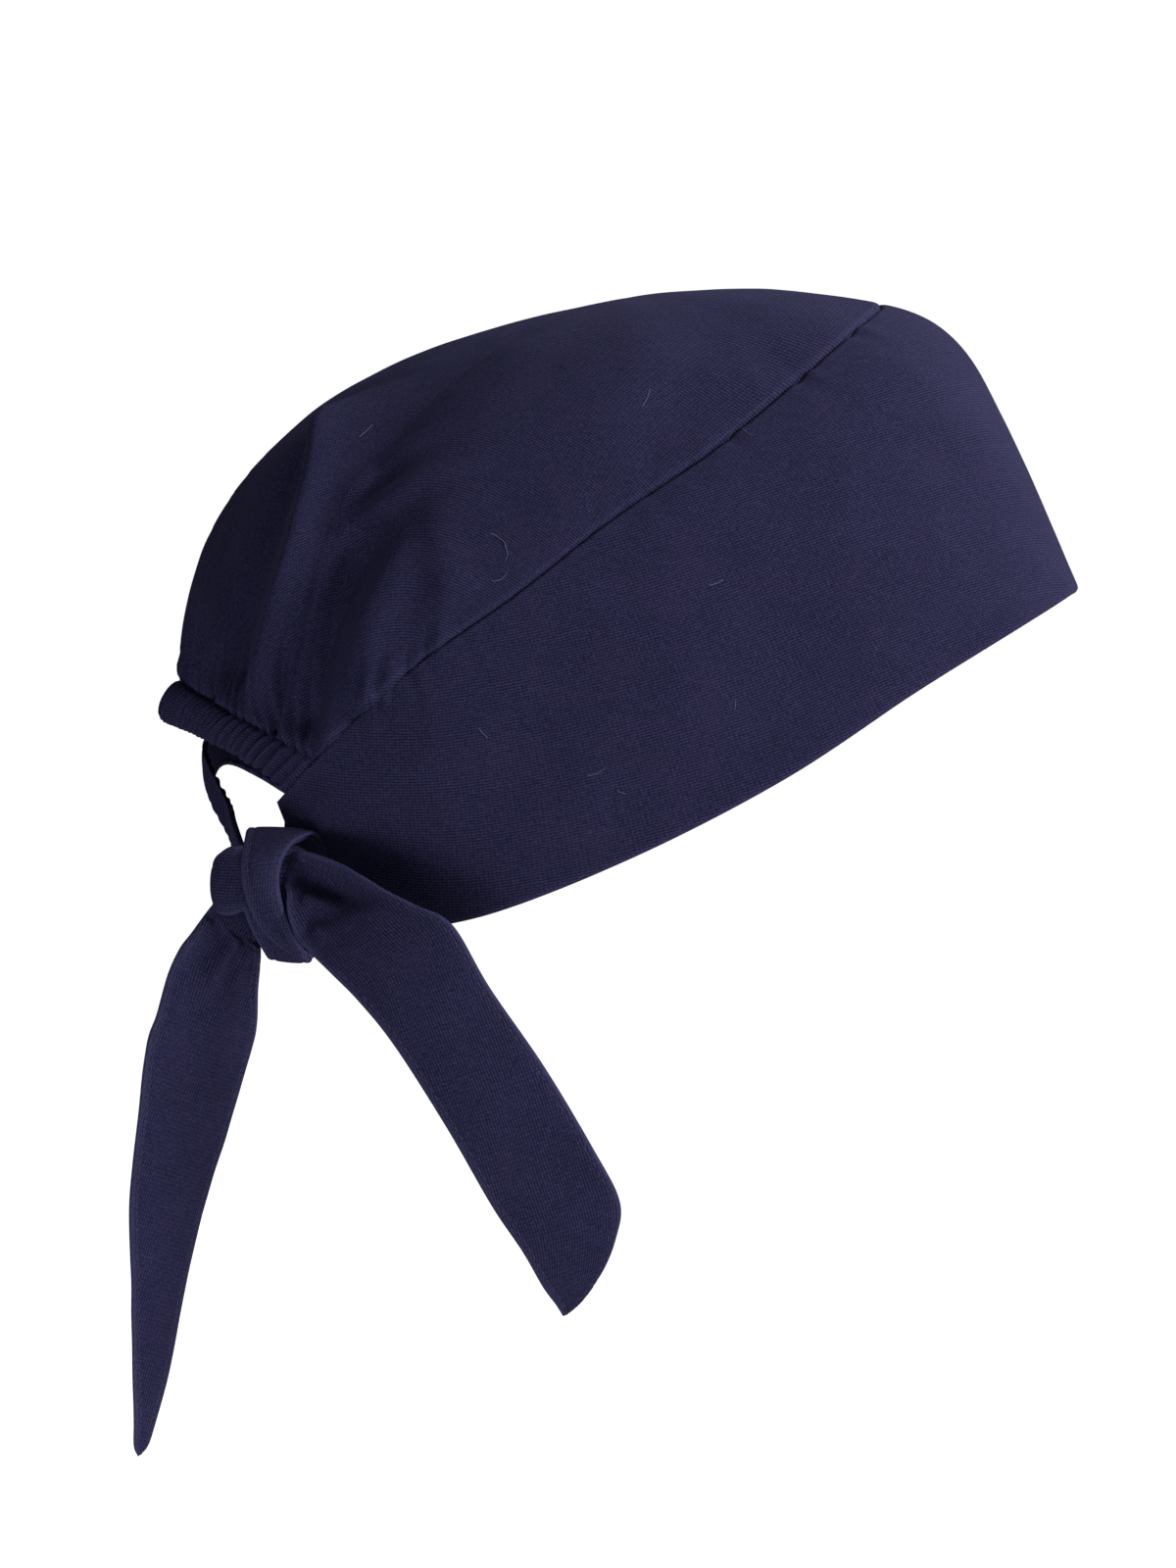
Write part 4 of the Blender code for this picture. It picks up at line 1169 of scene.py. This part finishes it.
def lay_stitches(name, runs):
    """Copies of the stitch along each run of points, pressed into the cloth, as one piece."""
    length = sizes().stitch_length
    shape, faces = stitch_shape(length, sizes().thread)
    points = []
    polygons = []
    for line, outs in runs:
        at = arc_lengths(line)

        def along(rows, here):
            return np.array([np.interp(here, at, rows[:, k]) for k in range(3)])

        count = int(at[-1] / (length * 1.18))
        for m in range(count):
            here = (m + 0.5) / count * at[-1]
            place = along(line, here)
            run = unit(along(line, min(here + 0.0005, at[-1])) - along(line, max(here - 0.0005, 0)))
            side = unit(np.cross(unit(along(outs, here)), run))
            up = np.cross(run, side)
            start = len(points)
            for p in shape:
                points.append(tuple(place + run * p.x + side * p.y + up * (p.z + sizes().thread * 0.25)))
            polygons += [tuple(start + v for v in f) for f in faces]
    return mesh_piece(name, points, polygons)


def stitch_runs(out, normals, cut, trims=(0.04, 0.98), sides=(-1, 1)):
    """Lines of points on a strap, along the hem of each of its chosen edges."""
    runs = []
    first, last = int(len(out) * trims[0]), int(len(out) * trims[1])
    for side in sides:
        line = []
        ways = []
        for m in range(first, last):
            half = cut[m, -1, 1]
            if half < HEM * 1.6:
                continue
            want = side * (half - HEM)
            line.append([np.interp(want, cut[m, :, 1], out[m, :, k]) for k in range(3)])
            ways.append([np.interp(want, cut[m, :, 1], normals[m, :, k]) for k in range(3)])
        if len(line) > 4:
            runs.append((np.array(line), np.array(ways)))
    return runs


def tube(points, radius, sides):
    """A thin round body along points: its own vertices and faces."""
    made = []
    faces = []
    for m, point in enumerate(points):
        run = (points[min(m + 1, len(points) - 1)] - points[max(m - 1, 0)]).normalized()
        side = run.cross(NEAR).normalized()
        up = side.cross(run)
        for s in range(sides):
            turn = math.tau * s / sides
            made.append(point + (side * math.cos(turn) + up * math.sin(turn)) * radius)
    for m in range(len(points) - 1):
        for s in range(sides):
            t = (s + 1) % sides
            faces.append((m * sides + s, m * sides + t, (m + 1) * sides + t, (m + 1) * sides + s))
    faces.append(tuple(range(sides))[::-1])
    faces.append(tuple(range((len(points) - 1) * sides, len(points) * sides)))
    return made, faces


# Operators


class CAP_OT_crown(bpy.types.Operator):
    """Makes the crown: one sheet with its folds, its gathers and the puckers of its seam."""

    bl_idname = "scrub_cap.crown"
    bl_label = "Crown"

    def execute(self, context):
        grid, flat, worn, normals = crown_surface()
        piece = cloth_piece("crown_cloth", grid, flat, worn, loop=True, middle=crown_middle(),
                            wall=sizes().cloth, outward=normals)
        finish_piece(piece, cloth_material("crown_twill"), "crown")
        return {"FINISHED"}


class CAP_OT_headband(bpy.types.Operator):
    """Makes the deep band and the far strap that runs on from it to the knot."""

    bl_idname = "scrub_cap.headband"
    bl_label = "Headband"

    def execute(self, context):
        grid, flat, worn, normals = band_surface()
        piece = cloth_piece("headband_cloth", grid, flat, worn, wall=sizes().band_cloth, outward=normals)
        finish_piece(piece, cloth_material("band_twill"), "headband")
        return {"FINISHED"}


class CAP_OT_casing(bpy.types.Operator):
    """Makes the pleated casing of the elastic at the back."""

    bl_idname = "scrub_cap.casing"
    bl_label = "Elastic casing"

    def execute(self, context):
        grid, flat, worn = casing_surface()
        outward = grid - grid.mean(axis=1, keepdims=True)
        piece = cloth_piece("casing_cloth", grid, flat, worn, outward=outward)
        # The casing's painted highlight on its pleat ridges, at half strength
        finish_piece(piece, cloth_material("casing_twill", worn=0.5), "elastic_casing")
        return {"FINISHED"}


class CAP_OT_knot(bpy.types.Operator):
    """Makes the knot: its lobe, its folded core, and the strap that goes round them."""

    bl_idname = "scrub_cap.knot"
    bl_label = "Knot"

    def execute(self, context):
        material = cloth_material("tie_twill")
        runs = []
        for name, rows, steps, node in (
            ("knot_strap", WRAP_ROWS, 110, "knot_wrap"),
            ("knot_under_strap", UNDER_ROWS, 60, None),
            ("knot_lobe", LOBE_ROWS, 80, None),
        ):
            wall = sizes().tie_cloth * 1.3
            piece, out, normals, cut = strap_piece(name, rows, steps, wall, closed=rows is WRAP_ROWS)
            finish_piece(piece, material, node)
            runs.append((out, normals, cut))
        core = self.core()
        finish_piece(core, material, "knot_bundle")
        lines = stitch_runs(*runs[0], trims=(0.0, 0.62))
        lines += stitch_runs(*runs[2], trims=(0.05, 0.75), sides=(1,))
        threads = lay_stitches("knot_stitches", lines)
        finish_piece(threads, thread_material())
        return {"FINISHED"}

    def core(self):
        """The cloth inside the knot: a creased, rounded body."""
        rings = []
        for m in range(CORE_RINGS):
            row = smooth(CORE_ROWS, (len(CORE_ROWS) - 1) * m / (CORE_RINGS - 1))
            top, low = strap_edges(row)
            middle = top.lerp(low, 0.5)
            ring = []
            for s in range(CORE_SIDES):
                turn = math.tau * s / CORE_SIDES
                crease = 1 + 0.05 * math.sin(7 * turn + 0.09 * m) + 0.03 * math.sin(13 * turn - 0.15 * m)
                up = (top - low) * 0.5 * math.cos(turn)
                near = NEAR * row.swell * MM * math.sin(turn)
                ring.append(tuple(middle + (up + near) * crease))
            rings.append(ring)
        grid = np.array(rings)
        axis = grid.mean(axis=1, keepdims=True)
        number = np.arange(CORE_RINGS)
        ends = np.minimum(1.0, np.minimum(number, CORE_RINGS - 1 - number) / 7.0)
        grid = axis + (grid - axis) * (np.sqrt(1 - (1 - ends) ** 2) * 0.98 + 0.02)[:, None, None]
        closed = np.concatenate([grid, grid[:, :1]], axis=1)
        around = CORE_SIDES + 1
        flat = np.stack([
            np.repeat(arc_lengths(closed[:, 0])[:, None], around, 1),
            np.tile(np.linspace(0, 0.05, around), (CORE_RINGS, 1)),
        ], axis=-1)
        core = cloth_piece("knot_core", closed, flat, np.zeros(closed.shape[:2]), outward=closed - axis)
        bm = bmesh.new()
        bm.from_mesh(core.data)
        bmesh.ops.remove_doubles(bm, verts=bm.verts, dist=1e-6)
        bmesh.ops.holes_fill(bm, edges=[e for e in bm.edges if e.is_boundary], sides=0)
        bmesh.ops.recalc_face_normals(bm, faces=bm.faces)
        bm.to_mesh(core.data)
        bm.free()
        core.data.shade_smooth()
        return core


class CAP_OT_tie_ends(bpy.types.Operator):
    """Makes the two tie ends that hang from the knot, with the stitches along their edges."""

    bl_idname = "scrub_cap.tie_ends"
    bl_label = "Tie ends"

    def execute(self, context):
        lines = []
        for name, node, rows, folds in (
            ("long_tie_cloth", "long_tie_end", LONG_ROWS, LONG_FOLDS),
            ("short_tie_cloth", "short_tie_end", SHORT_ROWS, SHORT_FOLDS),
        ):
            piece, out, normals, cut = strap_piece(name, rows, 190, sizes().tie_cloth, folds, across=41)
            finish_piece(piece, cloth_material("tie_twill"), node)
            lines += stitch_runs(out, normals, cut)
        threads = lay_stitches("tie_stitches", lines)
        finish_piece(threads, thread_material())
        return {"FINISHED"}


class CAP_OT_fibres(bpy.types.Operator):
    """Lays a few loose fibres on the near side of the cap."""

    bl_idname = "scrub_cap.fibres"
    bl_label = "Loose fibres"

    def execute(self, context):
        graph = context.evaluated_depsgraph_get()
        cloths = [bpy.data.objects[name].evaluated_get(graph) for name in ("crown_cloth", "headband_cloth")]
        points = []
        faces = []
        for fibre in FIBRES:
            line = self.line(fibre, cloths)
            if len(line) > 3:
                made, polygons = tube(line, FIBRE_RADIUS, 5)
                start = len(points)
                points += [tuple(p) for p in made]
                faces += [tuple(start + v for v in f) for f in polygons]
        mesh = bpy.data.meshes.new("loose_fibres")
        mesh.from_pydata(points, [], faces)
        piece = bpy.data.objects.new("loose_fibres", mesh)
        context.scene.collection.objects.link(piece)
        material = fibre_material("loose_fibre", colours().fibre, (0.35, 1.2), 420.0, 0.7)
        finish_piece(piece, material)
        return {"FINISHED"}

    def line(self, fibre, cloths):
        """The places of a fibre on the cloth that the viewer sees."""
        heading = math.radians(fibre.turn)
        right, rise = fibre.right, fibre.rise
        line = []
        for m in range(FIBRE_STEPS):
            start = (RIGHT * right + RISE * rise) * MM + NEAR * 0.3
            spots = []
            for cloth in cloths:
                hit, place, normal, _ = cloth.ray_cast(start, -NEAR)
                if hit:
                    spots.append(((start - place).length, place + normal * 0.00015))
            if spots:
                line.append(min(spots, key=lambda spot: spot[0])[1])
            right += math.cos(heading) * fibre.length / FIBRE_STEPS
            rise += math.sin(heading) * fibre.length / FIBRE_STEPS
            heading += math.radians(fibre.bend) / FIBRE_STEPS * (1.6 if m % 5 < 3 else -0.6)
        return line


class CAP_OT_stage(bpy.types.Operator):
    """Makes the pale floor, the soft lights and the camera of the side view."""

    bl_idname = "scrub_cap.stage"
    bl_label = "Stage"

    def execute(self, context):
        deselect()
        bpy.ops.mesh.primitive_circle_add(
            vertices=96, radius=FLOOR_RADIUS, fill_type="NGON", location=(0, 0, 0))
        floor = context.active_object
        floor.name = "pale_floor"
        bpy.ops.object.mode_set(mode="EDIT")
        bpy.ops.mesh.select_all(action="SELECT")
        bpy.ops.transform.translate(value=(0, 0, -FLOOR_DROP))
        bpy.ops.mesh.inset(thickness=FLOOR_RIM)
        bpy.ops.object.mode_set(mode="OBJECT")
        floor.data.materials.append(self.floor_material())
        world = bpy.data.worlds.new("studio")
        context.scene.world = world
        world.use_nodes = True
        tree = world.node_tree
        back = tree.nodes["Background"]
        back.inputs["Color"].default_value = (1.0, 1.0, 1.0, 1.0)
        path = tree.nodes.new("ShaderNodeLightPath")
        tree.links.new(raised(tree, path.outputs["Is Camera Ray"], 1.0, 0.18), back.inputs["Strength"])
        for lamp in LAMPS:
            self.light(lamp)
        self.camera(context)
        context.scene.view_settings.view_transform = "Standard"
        return {"FINISHED"}

    def light(self, lamp):
        data = bpy.data.lights.new(lamp.name, "AREA")
        data.shape = "DISK"
        data.size = lamp.size
        data.energy = lamp.power
        data.color = lamp.colour
        body = bpy.data.objects.new(lamp.name, data)
        bpy.context.scene.collection.objects.link(body)
        body.location = lamp.place
        body.rotation_euler = (Vector(lamp.place) - LAMP_AIM).to_track_quat("Z", "Y").to_euler()

    def camera(self, context):
        """The camera at the side view, framed by where the origin lies in the picture."""
        lens = bpy.data.cameras.new("side_camera")
        lens.sensor_fit = "VERTICAL"
        lens.sensor_height = SENSOR
        lens.lens = SENSOR * CAMERA_DISTANCE / (FRAME[1] * PIXEL)
        lens.clip_end = 400.0
        camera = bpy.data.objects.new("side_camera", lens)
        context.scene.collection.objects.link(camera)
        across = FRAME[0] // 2 - ORIGIN_PIXEL[0]
        up = ORIGIN_PIXEL[1] - FRAME[1] // 2
        camera.matrix_world = (NEAR.to_track_quat("Z", "Y")).to_matrix().to_4x4()
        camera.location = RIGHT * (across * PIXEL) + RISE * (up * PIXEL) + NEAR * CAMERA_DISTANCE
        context.scene.camera = camera

    def floor_material(self):
        """Pale floor, bright enough to run out into the white of the studio."""
        material, tree, shader = new_material("pale_floor")
        shader.inputs["Roughness"].default_value = 0.9
        shader.inputs["Emission Color"].default_value = (1.0, 1.0, 1.0, 1.0)
        path = tree.nodes.new("ShaderNodeLightPath")
        pale = tuple(colours().floor)
        colour = mixed(tree, path.outputs["Is Camera Ray"], opaque(pale, 0.4), opaque(pale))
        tree.links.new(colour, shader.inputs["Base Color"])
        glow = maths(tree, "MULTIPLY", path.outputs["Is Camera Ray"], 0.85)
        tree.links.new(glow, shader.inputs["Emission Strength"])
        return material


class CAP_PT_panel(bpy.types.Panel):
    """Lists the cap's sizes, colours and pieces."""

    bl_idname = "CAP_PT_panel"
    bl_label = "Scrub cap"
    bl_space_type = "VIEW_3D"
    bl_region_type = "UI"
    bl_category = "Scrub cap"

    def draw(self, context):
        for group in (context.scene.scrub_cap_sizes, context.scene.scrub_cap_colours):
            for key in group.__annotations__:
                self.layout.prop(group, key)
        for operator in OPERATORS:
            self.layout.operator(operator.bl_idname)


OPERATORS = (
    CAP_OT_stage,
    CAP_OT_crown,
    CAP_OT_headband,
    CAP_OT_casing,
    CAP_OT_knot,
    CAP_OT_tie_ends,
    CAP_OT_fibres,
)
CLASSES = (CapSizes, CapColours) + OPERATORS + (CAP_PT_panel,)


def register():
    for made in CLASSES:
        bpy.utils.register_class(made)
    bpy.types.Scene.scrub_cap_sizes = bpy.props.PointerProperty(type=CapSizes)
    bpy.types.Scene.scrub_cap_colours = bpy.props.PointerProperty(type=CapColours)


def unregister():
    del bpy.types.Scene.scrub_cap_sizes
    del bpy.types.Scene.scrub_cap_colours
    for made in reversed(CLASSES):
        bpy.utils.unregister_class(made)


def main():
    register()
    bpy.ops.scrub_cap.stage()
    bpy.ops.scrub_cap.crown()
    bpy.ops.scrub_cap.headband()
    bpy.ops.scrub_cap.casing()
    bpy.ops.scrub_cap.knot()
    bpy.ops.scrub_cap.tie_ends()
    bpy.ops.scrub_cap.fibres()


if __name__ == "__main__":
    main()
